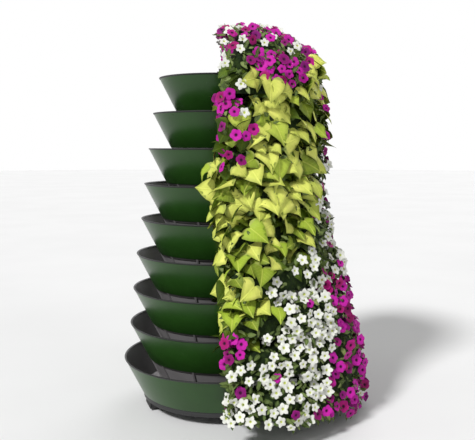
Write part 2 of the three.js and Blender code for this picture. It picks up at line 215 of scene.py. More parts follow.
class Signal:
    """The output of a shader node. A sum, difference or product of signals adds a Math node."""

    def __init__(self, graph, socket):
        self.graph = graph
        self.socket = socket

    def math(self, operation, *values):
        return self.graph.node("ShaderNodeMath", {"operation": operation}, dict(enumerate(values)))

    def __add__(self, other):
        return self.math("ADD", self, other)

    def __radd__(self, other):
        return self.math("ADD", other, self)

    def __sub__(self, other):
        return self.math("SUBTRACT", self, other)

    def __rsub__(self, other):
        return self.math("SUBTRACT", other, self)

    def __mul__(self, other):
        return self.math("MULTIPLY", self, other)

    def __rmul__(self, other):
        return self.math("MULTIPLY", other, self)

    def __abs__(self):
        return self.math("ABSOLUTE", self)

    def sine(self):
        return self.math("SINE", self)

    def larger(self, other):
        return self.math("MAXIMUM", self, other)

    def rise(self, low, high):
        """0 where the signal is low and 1 where it is high, with a smooth step between."""
        return self.graph.node(
            "ShaderNodeMapRange", {"interpolation_type": "SMOOTHSTEP"}, {0: self, 1: low, 2: high})


class Graph:
    """The shader nodes of a material or of the world."""

    def __init__(self, owner):
        owner.use_nodes = True
        self.tree = owner.node_tree
        self.tree.nodes.clear()

    def node(self, kind, options=None, feeds=None, output=0):
        """Adds a node, sets its options, then feeds its sockets with values or signals."""
        made = self.tree.nodes.new(kind)
        for key, value in (options or {}).items():
            if key == "stops":
                self.set_stops(made.color_ramp.elements, value)
            else:
                setattr(made, key, value)
        for key, value in (feeds or {}).items():
            if isinstance(value, Signal):
                self.tree.links.new(value.socket, made.inputs[key])
            elif isinstance(made.inputs[key].default_value, float):
                made.inputs[key].default_value = value
            else:
                width = len(made.inputs[key].default_value)
                made.inputs[key].default_value = (*value, 1)[:width]
        return Signal(self, made.outputs[output]) if made.outputs else None

    def outputs_of(self, signal):
        """All the outputs of the node that a signal comes from, by name."""
        return {socket.name: Signal(self, socket) for socket in signal.socket.node.outputs}

    @staticmethod
    def set_stops(elements, stops):
        while len(elements) < len(stops):
            elements.new(1)
        for element, (position, value) in zip(elements, stops):
            element.position = position
            element.color = (*value, 1)


class Finish(Graph):
    """A material under construction."""

    def __init__(self, name):
        self.material = bpy.data.materials.new(name)
        super().__init__(self.material)

    def place(self):
        return self.node("ShaderNodeTexCoord", output="Object")

    def noise(self, scale, detail=3, roughness=0.5, stretch=(1, 1, 1)):
        spread = self.node("ShaderNodeVectorMath", {"operation": "MULTIPLY"}, {0: self.place(), 1: stretch})
        feeds = {"Vector": spread, "Scale": scale, "Detail": detail, "Roughness": roughness}
        return self.node("ShaderNodeTexNoise", None, feeds)

    def cells(self, scale, output="Distance"):
        return self.node("ShaderNodeTexVoronoi", None, {"Vector": self.place(), "Scale": scale}, output)

    def blend(self, factor, low, high):
        """The low colour where the factor is 0 and the high colour where it is 1."""
        options = {"data_type": "RGBA"}
        return self.node("ShaderNodeMix", options, {0: factor, 6: low, 7: high}, output=2)

    def mark(self):
        """The four numbers that the mesh carries at each point, as x, y, z and w."""
        parts = self.outputs_of(self.node("ShaderNodeAttribute", {"attribute_name": "mark"}))
        axes = self.outputs_of(self.node("ShaderNodeSeparateXYZ", None, {0: parts["Vector"]}))
        return axes["X"], axes["Y"], axes["Z"], parts["Alpha"]

    def relief(self, height, depth, under=None):
        """A bump of the given depth in metres, on top of another bump."""
        feeds = {"Height": height, "Distance": depth, "Strength": 1.0}
        if under:
            feeds["Normal"] = under
        return self.node("ShaderNodeBump", None, feeds)

    def surface(self, base, roughness, normal=None, constants=None):
        """Ends the material in a Principled shader, with constants on its own sockets, and returns it."""
        feeds = {"Base Color": base, "Roughness": roughness, **(constants or {})}
        if normal:
            feeds["Normal"] = normal
        shader = self.node("ShaderNodeBsdfPrincipled", None, feeds)
        self.node("ShaderNodeOutputMaterial", None, {"Surface": shader})
        return self.material


# Materials

PLANT_GLOSS = {"Specular IOR Level": 0.16}
SHELL_GLOSS = {"Specular IOR Level": 0.42}
ZINC_METAL = {"Metallic": 0.85}
SCUFF_GREY = (0.30, 0.31, 0.29)
COAT_DUST = (0.10, 0.098, 0.09)
RUBBER_BLOOM = (0.050, 0.049, 0.046)
ZINC_STAIN = (0.22, 0.22, 0.21)
PALE_SPECK = (0.38, 0.34, 0.27)
VINE_STALK = (0.36, 0.42, 0.09)
SIDE_VEINS = 5.5
SIDE_VEIN_SLANT = 4.2
PETAL_STREAKS = 22


def scaled(base, factor):
    return tuple(min(1, part * factor) for part in base)


def moulded_plastic(name, base, roughness, scuff, constants=None):
    """Moulded plastic: a fine grain, cloudy gloss, faint flow lines and pale scuffs."""
    finish = Finish(name)
    cloud = finish.noise(scale=9, detail=4)
    flow = finish.noise(scale=3, detail=2, stretch=(1, 1, 14))
    grain = finish.noise(scale=650, detail=2)
    scratch = finish.noise(scale=70, detail=2, stretch=(1, 1, 0.12)).rise(0.66, 0.74) * cloud.rise(0.45, 0.7)
    tone = finish.blend(cloud.rise(0.25, 0.75), scaled(base, 0.93), scaled(base, 1.09))
    dusty = finish.blend(scratch * scuff, tone, SCUFF_GREY)
    gloss = (cloud - 0.5) * 0.12 + scratch * 0.15 + roughness
    normal = finish.relief(grain, depth=0.00004, under=finish.relief(flow, depth=0.00012))
    return finish.surface(dusty, gloss, normal, constants)


def powder_coat(name, base):
    """Black powder coat: orange peel and a little dust."""
    finish = Finish(name)
    peel = finish.noise(scale=420, detail=3)
    dust = finish.noise(scale=22, detail=5).rise(0.52, 0.8)
    tone = finish.blend(dust * 0.35, base, COAT_DUST)
    return finish.surface(tone, dust * 0.2 + 0.42, finish.relief(peel, depth=0.00012))


def moulded_rubber(name, base):
    """Matte rubber with a dusty bloom."""
    finish = Finish(name)
    bloom = finish.noise(scale=40, detail=5).rise(0.4, 0.75)
    grain = finish.noise(scale=500, detail=2)
    tone = finish.blend(bloom * 0.5, base, RUBBER_BLOOM)
    return finish.surface(tone, bloom * 0.08 + 0.8, finish.relief(grain, depth=0.0001))


def galvanised(name, base):
    """Hot-dipped zinc: patchy crystals of slightly different greys."""
    finish = Finish(name)
    spangle = finish.cells(120, "Color")
    grey = finish.node("ShaderNodeSeparateXYZ", None, {0: spangle})
    tone = finish.blend(grey, scaled(base, 0.8), scaled(base, 1.15))
    stain = finish.noise(scale=6, detail=4).rise(0.5, 0.8)
    tone = finish.blend(stain * 0.4, tone, ZINC_STAIN)
    return finish.surface(tone, stain * 0.15 + grey * 0.12 + 0.34, constants=ZINC_METAL)


def crumbly_mix(name, base):
    """Moist potting mix: peat crumbs, bark and pale specks."""
    finish = Finish(name)
    crumbs = finish.cells(190)
    lumps = finish.noise(scale=60, detail=6, roughness=0.65)
    tone = finish.blend(lumps.rise(0.3, 0.7), scaled(base, 0.45), scaled(base, 1.7))
    speck = (1 - finish.cells(75).rise(0.05, 0.16)) * finish.noise(scale=30, detail=2).rise(0.5, 0.6)
    tone = finish.blend(speck * 0.7, tone, PALE_SPECK)
    normal = finish.relief(lumps, depth=0.006, under=finish.relief(crumbs, depth=0.002))
    return finish.surface(tone, lumps * 0.1 + 0.85, normal)


def painted_shade_undergrowth(name, base, leaf):
    """Crowded stems and leaves, painted near black as the deep shade between the leaves."""
    finish = Finish(name)
    layers = finish.cells(34)
    fine = finish.noise(scale=90, detail=5, roughness=0.6)
    tone = finish.blend(layers.rise(0.1, 0.75), scaled(leaf, 0.55), base)
    tone = finish.blend(fine.rise(0.5, 0.75) * 0.5, tone, leaf)
    return finish.surface(tone, 0.9, finish.relief(layers + fine * 0.5, depth=0.012), PLANT_GLOSS)


def leaf_skin(name, tones, middle_tone, back, stalk, vein_strength, gloss):
    """A leaf: its face and back, a paler midrib with side veins, and a tone of its own. Each tone goes
    with the leaf's own number at which it is full. The darker back is painted shade, and the darkest tones
    given stand for leaves in painted shade.

    The mesh's mark holds the place across the leaf, the place from stalk to tip, the leaf's own number
    from 0 to 1, and 1 on its face, 0 on its back."""
    finish = Finish(name)
    across, along, own, side = finish.mark()
    ribs = abs(((along * SIDE_VEINS - abs(across) * SIDE_VEIN_SLANT) * math.pi).sine())
    midrib = 1 - abs(across).rise(0.008, 0.045)
    vein = midrib.larger((1 - ribs.rise(0.04, 0.30)) * 0.45)
    middle = 1 - abs(across).rise(0.05, 0.45)
    blotch = finish.noise(scale=28, detail=4)
    puckers = finish.noise(scale=130, detail=3)
    # Painted shade: the lowest tones given are darker copies that stand for leaves in shade
    face_with_painted_shade = finish.node("ShaderNodeValToRGB", {"stops": tones}, {"Fac": own})
    face_with_painted_shade = finish.blend(middle * 0.30, face_with_painted_shade, middle_tone)
    face_with_painted_shade = finish.blend(blotch.rise(0.40, 0.75) * 0.30, face_with_painted_shade, middle_tone)
    # Painted shade: the back takes a darker colour that stands for the shade under the leaf
    tone = finish.blend(side, back, face_with_painted_shade)
    tone = finish.blend(vein * vein_strength, tone, scaled(tones[-1][1], 1.15))
    tone = finish.blend(1 - along.rise(0.02, 0.12), tone, stalk)
    normal = finish.relief(puckers * 0.6 - vein, depth=0.0012)
    return finish.surface(tone, blotch * 0.15 + gloss, normal, PLANT_GLOSS)


def petal_skin(name, tones, throat, stalk, throat_edge):
    """A petunia: petals with fine veins round a throat, and a green tube and stalk behind. Each tone goes
    with the bloom's own number at which it is full.

    The mesh's mark holds the place from throat to edge, the place across a petal, the bloom's own number
    from 0 to 1, and 1 on the face, 0 on the back."""
    finish = Finish(name)
    outward, across, own, side = finish.mark()
    petal = tones[-1][1]
    streaks = abs((across * PETAL_STREAKS).sine())
    crepe = finish.noise(scale=260, detail=3)
    tone = finish.node("ShaderNodeValToRGB", {"stops": tones}, {"Fac": own})
    tone = finish.blend(streaks.rise(0.75, 1) * (1 - outward.rise(0.3, 0.9)) * 0.4, tone, scaled(petal, 0.6))
    # Painted shade: darker along the creases between the petals
    painted_crease_shade = (1 - across.rise(0, 0.22)) * outward.rise(0.3, 0.8)
    tone = finish.blend(painted_crease_shade * 0.35, tone, scaled(petal, 0.55))
    tone = finish.blend(1 - outward.rise(*throat_edge), tone, throat)
    behind = finish.blend(outward.rise(0.15, 0.6), stalk, scaled(petal, 0.7))
    tone = finish.blend(side, behind, tone)
    normal = finish.relief(crepe + streaks * 0.3, depth=0.0006)
    return finish.surface(tone, crepe * 0.2 + 0.45, normal, PLANT_GLOSS)


# Meshes

LARGEST_ROUNDING = 0.45
ON_AXIS = 1e-6
FINE_EDGE = 0.001
FINE_SEGMENTS = 144
ROUND_SEGMENTS = 96
SMALL_SEGMENTS = 48
SLOT_END = 2.01
HARD_CREASE = 32
SOFT_CREASE = 60


def rounded(outline, radius, steps=3, closed=True):
    """The outline of (radius, level) points with each corner rounded off, by less than half of a side."""
    corners = [Vector(point) for point in outline]
    made = []
    for i, corner in enumerate(corners):
        if not closed and i in (0, len(corners) - 1):
            made.append(corner)
            continue
        to_last = corners[i - 1] - corner
        to_next = corners[(i + 1) % len(corners)] - corner
        reach = min(radius, to_last.length * LARGEST_ROUNDING, to_next.length * LARGEST_ROUNDING)
        start = corner + to_last.normalized() * reach
        end = corner + to_next.normalized() * reach
        for step in range(steps + 1):
            t = step / steps
            made.append(start * (1 - t) ** 2 + corner * 2 * t * (1 - t) + end * t ** 2)
    return [tuple(point) for point in made]


def turned(outline, segments, closed=True):
    """Points and faces of an outline of (radius, level) points turned about Z. Ends may lie on the axis."""
    points = []
    rings = []
    for radius, level in outline:
        count = segments if radius > ON_AXIS else 1
        rings.append([len(points) + step for step in range(count)])
        for step in range(count):
            angle = 2 * math.pi * step / segments
            points.append((radius * math.cos(angle), radius * math.sin(angle), level))
    faces = []
    last = len(rings) if closed else len(rings) - 1
    for i in range(last):
        low, high = rings[i], rings[(i + 1) % len(rings)]
        for step in range(segments):
            after = (step + 1) % segments
            corners = [low[step % len(low)], low[after % len(low)], high[after % len(high)],
                       high[step % len(high)]]
            face = list(dict.fromkeys(corners))
            if len(face) > 2:
                faces.append(face)
    return points, faces


def lofted(rings):
    """Points and faces of a solid through rings of points, capped at both ends."""
    count = len(rings[0])
    points = [tuple(point) for ring in rings for point in ring]
    faces = []
    for span in range(len(rings) - 1):
        near = span * count
        far = near + count
        for i in range(count):
            after = (i + 1) % count
            faces.append([near + i, near + after, far + after, far + i])
    faces.append(list(range(count))[::-1])
    faces.append(list(range(len(points) - count, len(points))))
    return points, faces


def merged(shapes):
    """Several (points, faces) shapes as one."""
    points = []
    faces = []
    for shape_points, shape_faces in shapes:
        start = len(points)
        points.extend(shape_points)
        faces.extend([[corner + start for corner in face] for face in shape_faces])
    return points, faces


def moved(shape, matrix):
    points, faces = shape
    return [tuple(matrix @ Vector(point)) for point in points], faces


def tidy_normals(mesh):
    work = bmesh.new()
    work.from_mesh(mesh)
    bmesh.ops.recalc_face_normals(work, faces=work.faces)
    work.to_mesh(mesh)
    work.free()


def make_object(name, shape):
    mesh = bpy.data.meshes.new(name)
    points, faces = shape
    mesh.from_pydata(points, [], faces)
    mesh.update()
    piece = bpy.data.objects.new(name, mesh)
    bpy.context.scene.collection.objects.link(piece)
    return piece


def settle(piece, body, nodes, finishes, crease):
    """Finishes and shades a piece, and lets it ride on its body in the place of its CAD nodes."""
    mesh = piece.data
    for finish in finishes:
        mesh.materials.append(finish)
    mesh.shade_smooth()
    mesh.set_sharp_from_angle(angle=math.radians(crease))
    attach(piece, body)
    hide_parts(*nodes)


def make_piece(name, shape, body, nodes, finishes, pick=None, crease=HARD_CREASE,
               cutters=None):
    """A piece of the tower from (points, faces), with its cutters taken out. Pick tells the number of the
    finish at a face's middle."""
    piece = make_object(name, shape)
    tidy_normals(piece.data)
    if cutters:
        cut_away(piece, cutters)
    settle(piece, body, nodes, finishes, crease)
    if pick:
        for face in piece.data.polygons:
            face.material_index = pick(face.center)


def cut_away(piece, cutters):
    """Takes the cutters' shapes out of the piece."""
    tool = make_object("cutter", merged(cutters))
    tidy_normals(tool.data)
    boolean = piece.modifiers.new("cut", "BOOLEAN")
    boolean.object = tool
    boolean.operation = "DIFFERENCE"
    boolean.solver = "EXACT"
    depsgraph = bpy.context.evaluated_depsgraph_get()
    cut_mesh = bpy.data.meshes.new_from_object(piece.evaluated_get(depsgraph))
    piece.modifiers.clear()
    piece.data = cut_mesh
    bpy.data.objects.remove(tool)


def rounded_bar(width, depth, height, edge, steps=4):
    """An upright bar of a rounded rectangle, centred on the origin."""
    half = (width / 2 - edge, depth / 2 - edge)
    ring = []
    for quarter, (x, y) in enumerate([(1, 1), (-1, 1), (-1, -1), (1, -1)]):
        for step in range(steps + 1):
            angle = math.pi / 2 * (quarter + step / steps)
            ring.append((x * half[0] + edge * math.cos(angle), y * half[1] + edge * math.sin(angle)))
    return lofted([[(x, y, level) for x, y in ring] for level in (-height / 2, height / 2)])


def slot_cutter(slot_width, slot_length, height):
    """An upright bar whose section is a slot with all but half-round ends."""
    return rounded_bar(slot_width, slot_length, height, slot_width / SLOT_END)


def quarter_turn(axis, times=1):
    return Matrix.Rotation(math.pi / 2 * times, 4, axis)


# Sizes that several pieces share

def body_of_tier(tier):
    return "base" if tier == 1 else f"tier_{tier}"


def foot_level(tier):
    return BOX[f"tier_shell_{tier}"][0].z


def rim_level(tier):
    return BOX[f"tier_shell_{tier}"][1].z


def rim_radius(tier):
    return BOX[f"tier_shell_{tier}"][1].x


def shell_radius(tier, level):
    """Radius of a shell's outer face at a level."""
    height = rim_level(tier) - foot_level(tier)
    return rim_radius(tier) - settings().shell.flare * (rim_level(tier) - level) / height


def collar_radius(tier, level):
    """Radius of the outer face of the collar that stands in a tier."""
    return shell_radius(tier + 1, level) - settings().collar.setback


def mast_radius():
    return BOX["watering_mast"][1].x


# Shells, floors, collars and base

OUTER_FACE, INNER_FACE, BEAD = range(3)
RIB_BEVEL_SHARE = 0.3
RIB_ROOT_SHARE = 0.6
PAD_RECESS, PAD_TREAD, PAD_TOP = 0.6, 0.65, 0.94
WELD_GAP = 0.0001
BEVEL_STEPS = 3
BEVEL_FROM = 40
TRAY_EDGE = 0.0012
DRILL_SEGMENTS, PLUG_SEGMENTS, CAP_SEGMENTS = 24, 32, 64
DRAIN_DRILL = ((0, -0.02), (0.0054, -0.02), (0.0054, 0.02), (0, 0.02))
PLUG_OUTLINE = ((0, -0.0155), (0.0045, -0.0155), (0.005, -0.012), (0.005, -0.0015), (0.009, -0.0012),
                (0.009, 0.0018), (0.0065, 0.0026), (0.0062, 0.0048), (0, 0.0052))
PLUG_EDGE = 0.0006
MAST_EDGE = 0.0008
STEM_GAP = 0.0005
CAP_HEAD = 0.020
CAP_FLANGE = 0.006
KNOB_RADIUS = 0.011
KNOB_FOOT = KNOB_RADIUS + 0.004
KNOB_WAIST = KNOB_RADIUS * 0.8
KNOB_TOP = KNOB_RADIUS * 0.75
WAIST_ABOVE_SEAT = 0.003
KNOB_SHOULDER = 0.004
KNOB_DISH = 0.0008


def build_shells():
    sizes = settings().shell
    green = moulded_plastic("green_shell_plastic", sizes.green, 0.30, 0.08, SHELL_GLOSS)
    grey = moulded_plastic("grey_shell_plastic", sizes.grey, 0.42, 0.15)
    black = moulded_plastic("rim_plastic", sizes.rim, 0.50, 0.08)
    for tier in TIERS:
        foot = foot_level(tier)
        rim = rim_level(tier)
        under_bead = rim - sizes.bead_height
        neck = shell_radius(tier, under_bead)
        flange = foot + sizes.flange_thickness
        foot_radius = shell_radius(tier, foot)
        reach = sizes.bead_reach
        outline = [
            (foot_radius, foot),
            (neck, under_bead),
            (neck + reach, under_bead + reach / 2),
            (rim_radius(tier) + reach, rim),
            (rim_radius(tier) - sizes.wall - reach, rim),
            (neck - sizes.wall - reach, under_bead + reach / 2),
            (neck - sizes.wall, under_bead),
            (shell_radius(tier, flange) - sizes.wall, flange),
            (foot_radius - sizes.flange_width, flange),
            (foot_radius - sizes.flange_width, foot),
        ]

        def part_of_shell(centre, tier=tier, under_bead=under_bead):
            if centre.z > under_bead:
                return BEAD
            middle = shell_radius(tier, centre.z) - sizes.wall / 2
            return OUTER_FACE if math.hypot(centre.x, centre.y) > middle else INNER_FACE

        shape = turned(rounded(outline, sizes.edge), sizes.segments)
        make_piece(f"shell_{tier}", shape, body_of_tier(tier), [f"tier_shell_{tier}"],
                   [green, grey, black], pick=part_of_shell)


def build_floors():
    sizes = settings().shell
    grey = moulded_plastic("floor_plastic", settings().collar.grey, 0.5, 0.3)
    for tier in TIERS:
        low, high = BOX[f"tier_floor_{tier}"]
        edge = shell_radius(tier, high.z) - sizes.wall - sizes.floor_clearance
        bore = mast_radius() + sizes.floor_clearance
        lip = sizes.flange_thickness
        web = high.z - lip / 3
        ramp_foot = 1.6 * lip
        outline = [(edge - lip / 2, low.z), (edge, high.z), (edge - lip, high.z), (edge - ramp_foot, web),
                   (bore + ramp_foot, web), (bore + lip, high.z), (bore, high.z), (bore, low.z)]
        pocket_inside = bore
        if tier < TOP_TIER:
            pocket_inside = collar_radius(tier, high.z) + settings().collar.rib_depth
        pocket_outside = shell_radius(tier, foot_level(tier)) - sizes.flange_width
        slot_place = Matrix.Translation(((pocket_inside + pocket_outside) / 2, 0, (low.z + high.z) / 2))
        cutter = slot_cutter(sizes.slot_width, sizes.slot_length, 3 * (high.z - low.z))
        turns = [Matrix.Rotation(2 * math.pi * slot / sizes.slots, 4, "Z") for slot in range(sizes.slots)]
        disc = turned(rounded(outline, FINE_EDGE, 2), ROUND_SEGMENTS)
        make_piece(f"floor_{tier}", disc, body_of_tier(tier), [f"tier_floor_{tier}"], [grey],
                   cutters=[moved(cutter, turn @ slot_place) for turn in turns])


def collar_wall(tier, foot, top):
    """The collar's wall with a hem at its foot, a groove and a lip under the shell that it carries."""
    sizes = settings().collar
    lip = top - sizes.lip_height
    groove = lip - sizes.groove_height
    wall_foot = foot + sizes.weep
    hem = wall_foot + sizes.groove_height
    depth = sizes.groove_depth

    def beside(level, out=0, lift=0):
        """A point of the outline: on the wall's slope at a level, then moved out and up."""
        return collar_radius(tier, level) + out, level + lift

    outline = [
        beside(wall_foot, depth),
        beside(hem, depth),
        beside(hem, 0, depth),
        beside(groove),
        beside(groove, -depth, depth / 2),
        beside(lip, -depth),
        beside(lip, sizes.lip_reach, depth / 2),
        beside(top, sizes.lip_reach),
        beside(top, -sizes.wall),
        beside(wall_foot, -sizes.wall),
    ]
    return turned(rounded(outline, FINE_EDGE, 2), FINE_SEGMENTS)


def collar_rib(tier, foot, top, angle):
    """A rib of rounded section that follows the collar's slope down to the floor."""
    sizes = settings().collar
    half = sizes.rib_width / 2
    edge = sizes.rib_edge
    bevel = edge * RIB_BEVEL_SHARE
    half_section = [(half, -sizes.wall * RIB_ROOT_SHARE), (half, sizes.rib_depth - edge),
                    (half - bevel, sizes.rib_depth - bevel), (half - edge, sizes.rib_depth)]
    section = [(-side, out) for side, out in half_section] + half_section[::-1]
    rings = []
    for level in (foot, top):
        radius = collar_radius(tier, level)
        rings.append([(radius + out, side, level) for side, out in section])
    return moved(lofted(rings), Matrix.Rotation(angle, 4, "Z"))


def build_collars():
    sizes = settings().collar
    grey = moulded_plastic("collar_plastic", sizes.grey, 0.30, 0.3)
    for tier in TIERS[:-1]:
        low, high = BOX[f"support_collar_{tier}"]
        shapes = [collar_wall(tier, low.z, high.z)]
        for rib in range(sizes.ribs):
            angle = sizes.rib_turn + 2 * math.pi * rib / sizes.ribs
            shapes.append(collar_rib(tier, low.z, high.z, angle))
        make_piece(f"collar_{tier}", merged(shapes), body_of_tier(tier),
                   [f"support_collar_{tier}"], [grey])


def soften_node(node, edge, finish):
    """Gives a CAD node rounded edges and a finish, and leaves its mesh as it is."""
    piece = frame["nodes"][node]
    weld = piece.modifiers.new("weld", "WELD")
    weld.merge_threshold = WELD_GAP
    bevel = piece.modifiers.new("bevel", "BEVEL")
    bevel.width = edge
    bevel.segments = BEVEL_STEPS
    bevel.limit_method = "ANGLE"
    bevel.angle_limit = math.radians(BEVEL_FROM)
    for material_slot in piece.material_slots:
        material_slot.material = finish


def foot_pad(node):
    """A round pad with a groove round its waist and a tread that stands proud of its middle."""
    low, high = BOX[node]
    radius = (high.x - low.x) / 2
    waist = (low.z + high.z) / 2
    groove = settings().base.pad_groove
    recess = low.z + groove / 2
    outline = [(0, recess), (radius * PAD_RECESS, recess), (radius * PAD_TREAD, low.z), (radius, low.z),
               (radius, waist - groove), (radius - groove, waist), (radius, waist + groove),
               (radius * PAD_TOP, high.z), (0, high.z)]
    shape = turned(rounded(outline, FINE_EDGE, 2, closed=False), SMALL_SEGMENTS, closed=False)
    return moved(shape, Matrix.Translation(((low.x + high.x) / 2, (low.y + high.y) / 2, 0)))


def build_base():
    sizes = settings().base
    black = powder_coat("black_powder_coat", sizes.black)
    rubber = moulded_rubber("black_rubber", sizes.rubber)
    soften_node("base_frame", sizes.frame_edge, black)
    for arm in ARMS:
        soften_node(f"arm_end_cap_{arm}", sizes.frame_edge / 3, rubber)
    for pad in (*ARMS, "middle"):
        node = f"foot_pad_{pad}"
        make_piece(f"pad_{pad}", foot_pad(node), "base", [node], [rubber])


def build_tray():
    sizes = settings().base
    low, high = BOX["drip_tray"]
    wall = sizes.tray_wall
    radius = high.x
    inside = radius - wall
    lip = inside - sizes.tray_lip
    bottom = low.z + wall
    upstand = sizes.upstand
    outline = [
        (inside, low.z), (radius, bottom), (radius, high.z), (lip, high.z), (lip, high.z - wall),
        (inside, high.z - wall), (inside, bottom), (upstand + wall, bottom), (upstand + wall, high.z),
        (upstand, high.z), (upstand, low.z),
    ]
    turn = Matrix.Rotation(sizes.plug_turn, 4, "Z")
    plug_axis = turn @ Matrix.Translation((radius, 0, low.z + sizes.plug_level)) @ quarter_turn("Y")
    hole = moved(turned(DRAIN_DRILL, DRILL_SEGMENTS, closed=False), plug_axis)
    grey = moulded_plastic("tray_plastic", sizes.tray, 0.45, 0.3)
    tray = turned(rounded(outline, TRAY_EDGE, 2), FINE_SEGMENTS)
    make_piece("tray", tray, "base", ["drip_tray"], [grey], cutters=[hole])
    rubber = moulded_rubber("plug_rubber", sizes.rubber)
    plug = turned(rounded(PLUG_OUTLINE, PLUG_EDGE, 2, closed=False), PLUG_SEGMENTS, closed=False)
    make_piece("plug", moved(plug, plug_axis), "drain_plug", ["drain_plug"], [rubber])


def outlet_cutter(tier):
    """The pair of outlets above a tier's floor, along X on the odd tiers and along Y on the even ones."""
    sizes = settings().base
    mix_top = rim_level(tier) - settings().foliage.mix_freeboard
    level = (BOX[f"tier_floor_{tier}"][1].z + mix_top) / 2
    bar = slot_cutter(sizes.outlet_width, sizes.outlet_height, 3 * mast_radius())
    return moved(bar, Matrix.Translation((0, 0, level)) @ quarter_turn("Z", tier % 2) @ quarter_turn("X"))


def build_mast():
    sizes = settings().base
    low, high = BOX["watering_mast"]
    radius = mast_radius()
    bore = radius - sizes.mast_wall
    pipe = [(radius, low.z), (radius, high.z), (bore, high.z), (bore, low.z)]
    zinc = galvanised("galvanised_pipe", sizes.zinc)
    mast = turned(rounded(pipe, MAST_EDGE, 2), ROUND_SEGMENTS)
    make_piece("mast", mast, "base", ["watering_mast"], [zinc],
               cutters=[outlet_cutter(tier) for tier in TIERS])


def build_cap():
    """The cap's stem, its flange on the mast's end, and a waisted knob."""
    low, high = BOX["watering_cap"]
    radius = mast_radius()
    stem = radius - settings().base.mast_wall - STEM_GAP
    flange = high.z - CAP_HEAD
    seat = flange + CAP_FLANGE
    outline = [(0, low.z), (stem, low.z), (stem, flange), (radius, flange), (radius, seat),
               (KNOB_FOOT, seat), (KNOB_WAIST, seat + WAIST_ABOVE_SEAT),
               (KNOB_RADIUS, high.z - KNOB_SHOULDER), (KNOB_TOP, high.z), (0, high.z - KNOB_DISH)]
    grey = moulded_plastic("cap_plastic", settings().base.tray, 0.4, 0.3)
    cap = turned(rounded(outline, TRAY_EDGE, closed=False), CAP_SEGMENTS, closed=False)
    make_piece("cap", cap, "watering_cap", ["watering_cap"], [grey])


# Where the foliage lies

FRONT_TO_BACK = 180
SIDE = 90
SHOULDER = 0.040
CROWN_ABOVE_RIM = 0.035
INNER_TOP_ABOVE_RIM = 0.080
INNER_CLEARANCE = 0.015
INNER_SLOPE_SHARE = 0.30
MOUND_RADIUS_SHARES = (0.08, 0.3, 0.62, 0.84, 0.98)
MOUND_HEIGHT_SHARES = (0.74, 0.79, 0.78, 0.50, 0.12)
HEM_TURNS = (0, 15, 35, 55, 75)
HEM_LIFTS = (0.050, 0.040, 0.004, -0.030, -0.060)
CUT_ANGLE = 4.5
CUT_FADE = 35
CUT_COVER = 0.030
CUT_INSET_LEVELS = (1.70, 1.80)
CUT_INSETS = (0.022, 0.066)
CUT_LEVELS = (0.45, 0.80, 1.45, 1.60)
CUT_DEPTHS = (0.066, 0.046, 0.046, 0)
CUT_SCATTER = (-0.016, 0.012)
CUT_SLANT = (0, 0.9)
CUT_LIFT = (-0.1, 0.3)
EDGE_CLEARANCE = 0.030
EDGE_MARGIN = 0.01
EDGE_OVERHANG = 0.03
CAP_ROOM = 0.055
REACH_LEVELS = (0.60, 0.80, 0.95, 1.15, 1.25, 1.33)
REACH_SHARES = (0.2, 0.3, 0.6, 0.8, 1, 0.1)
SLOPE_EASE = 0.5


def around(radius, angle, level):
    """The point at a radius, an angle in degrees from the front and a level."""
    turn = math.radians(angle)
    return Vector((radius * math.sin(turn), -radius * math.cos(turn), level))


def interpolated(value, values, results):
    return float(np.interp(value, values, results))


def ramp(value, low, high):
    """0 up to the low value, 1 from the high one on, and straight between them."""
    return min(1.0, max(0.0, (value - low) / (high - low)))


def cut_inset(level):
    """How far the undergrowth's cut face lies behind the planted half's edge."""
    return interpolated(level, CUT_INSET_LEVELS, CUT_INSETS)


def fold(angle):
    """The back of the tower is planted like the front, in mirror image."""
    return angle if angle <= SIDE else FRONT_TO_BACK - angle


def foliage_edge(tier):
    """Angles round the planted half, with the CAD foliage's outer radius and hem level there."""
    points = np.array([vertex.co for vertex in frame["nodes"][f"planting_{tier}"].data.vertices])
    angles = np.round(np.degrees(np.abs(np.arctan2(points[:, 0], -points[:, 1]))))
    radii = np.hypot(points[:, 0], points[:, 1])
    steps = np.unique(angles)
    outer = [radii[angles == step].max() for step in steps]
    hem = [points[angles == step, 2].min() for step in steps]
    return steps, outer, hem


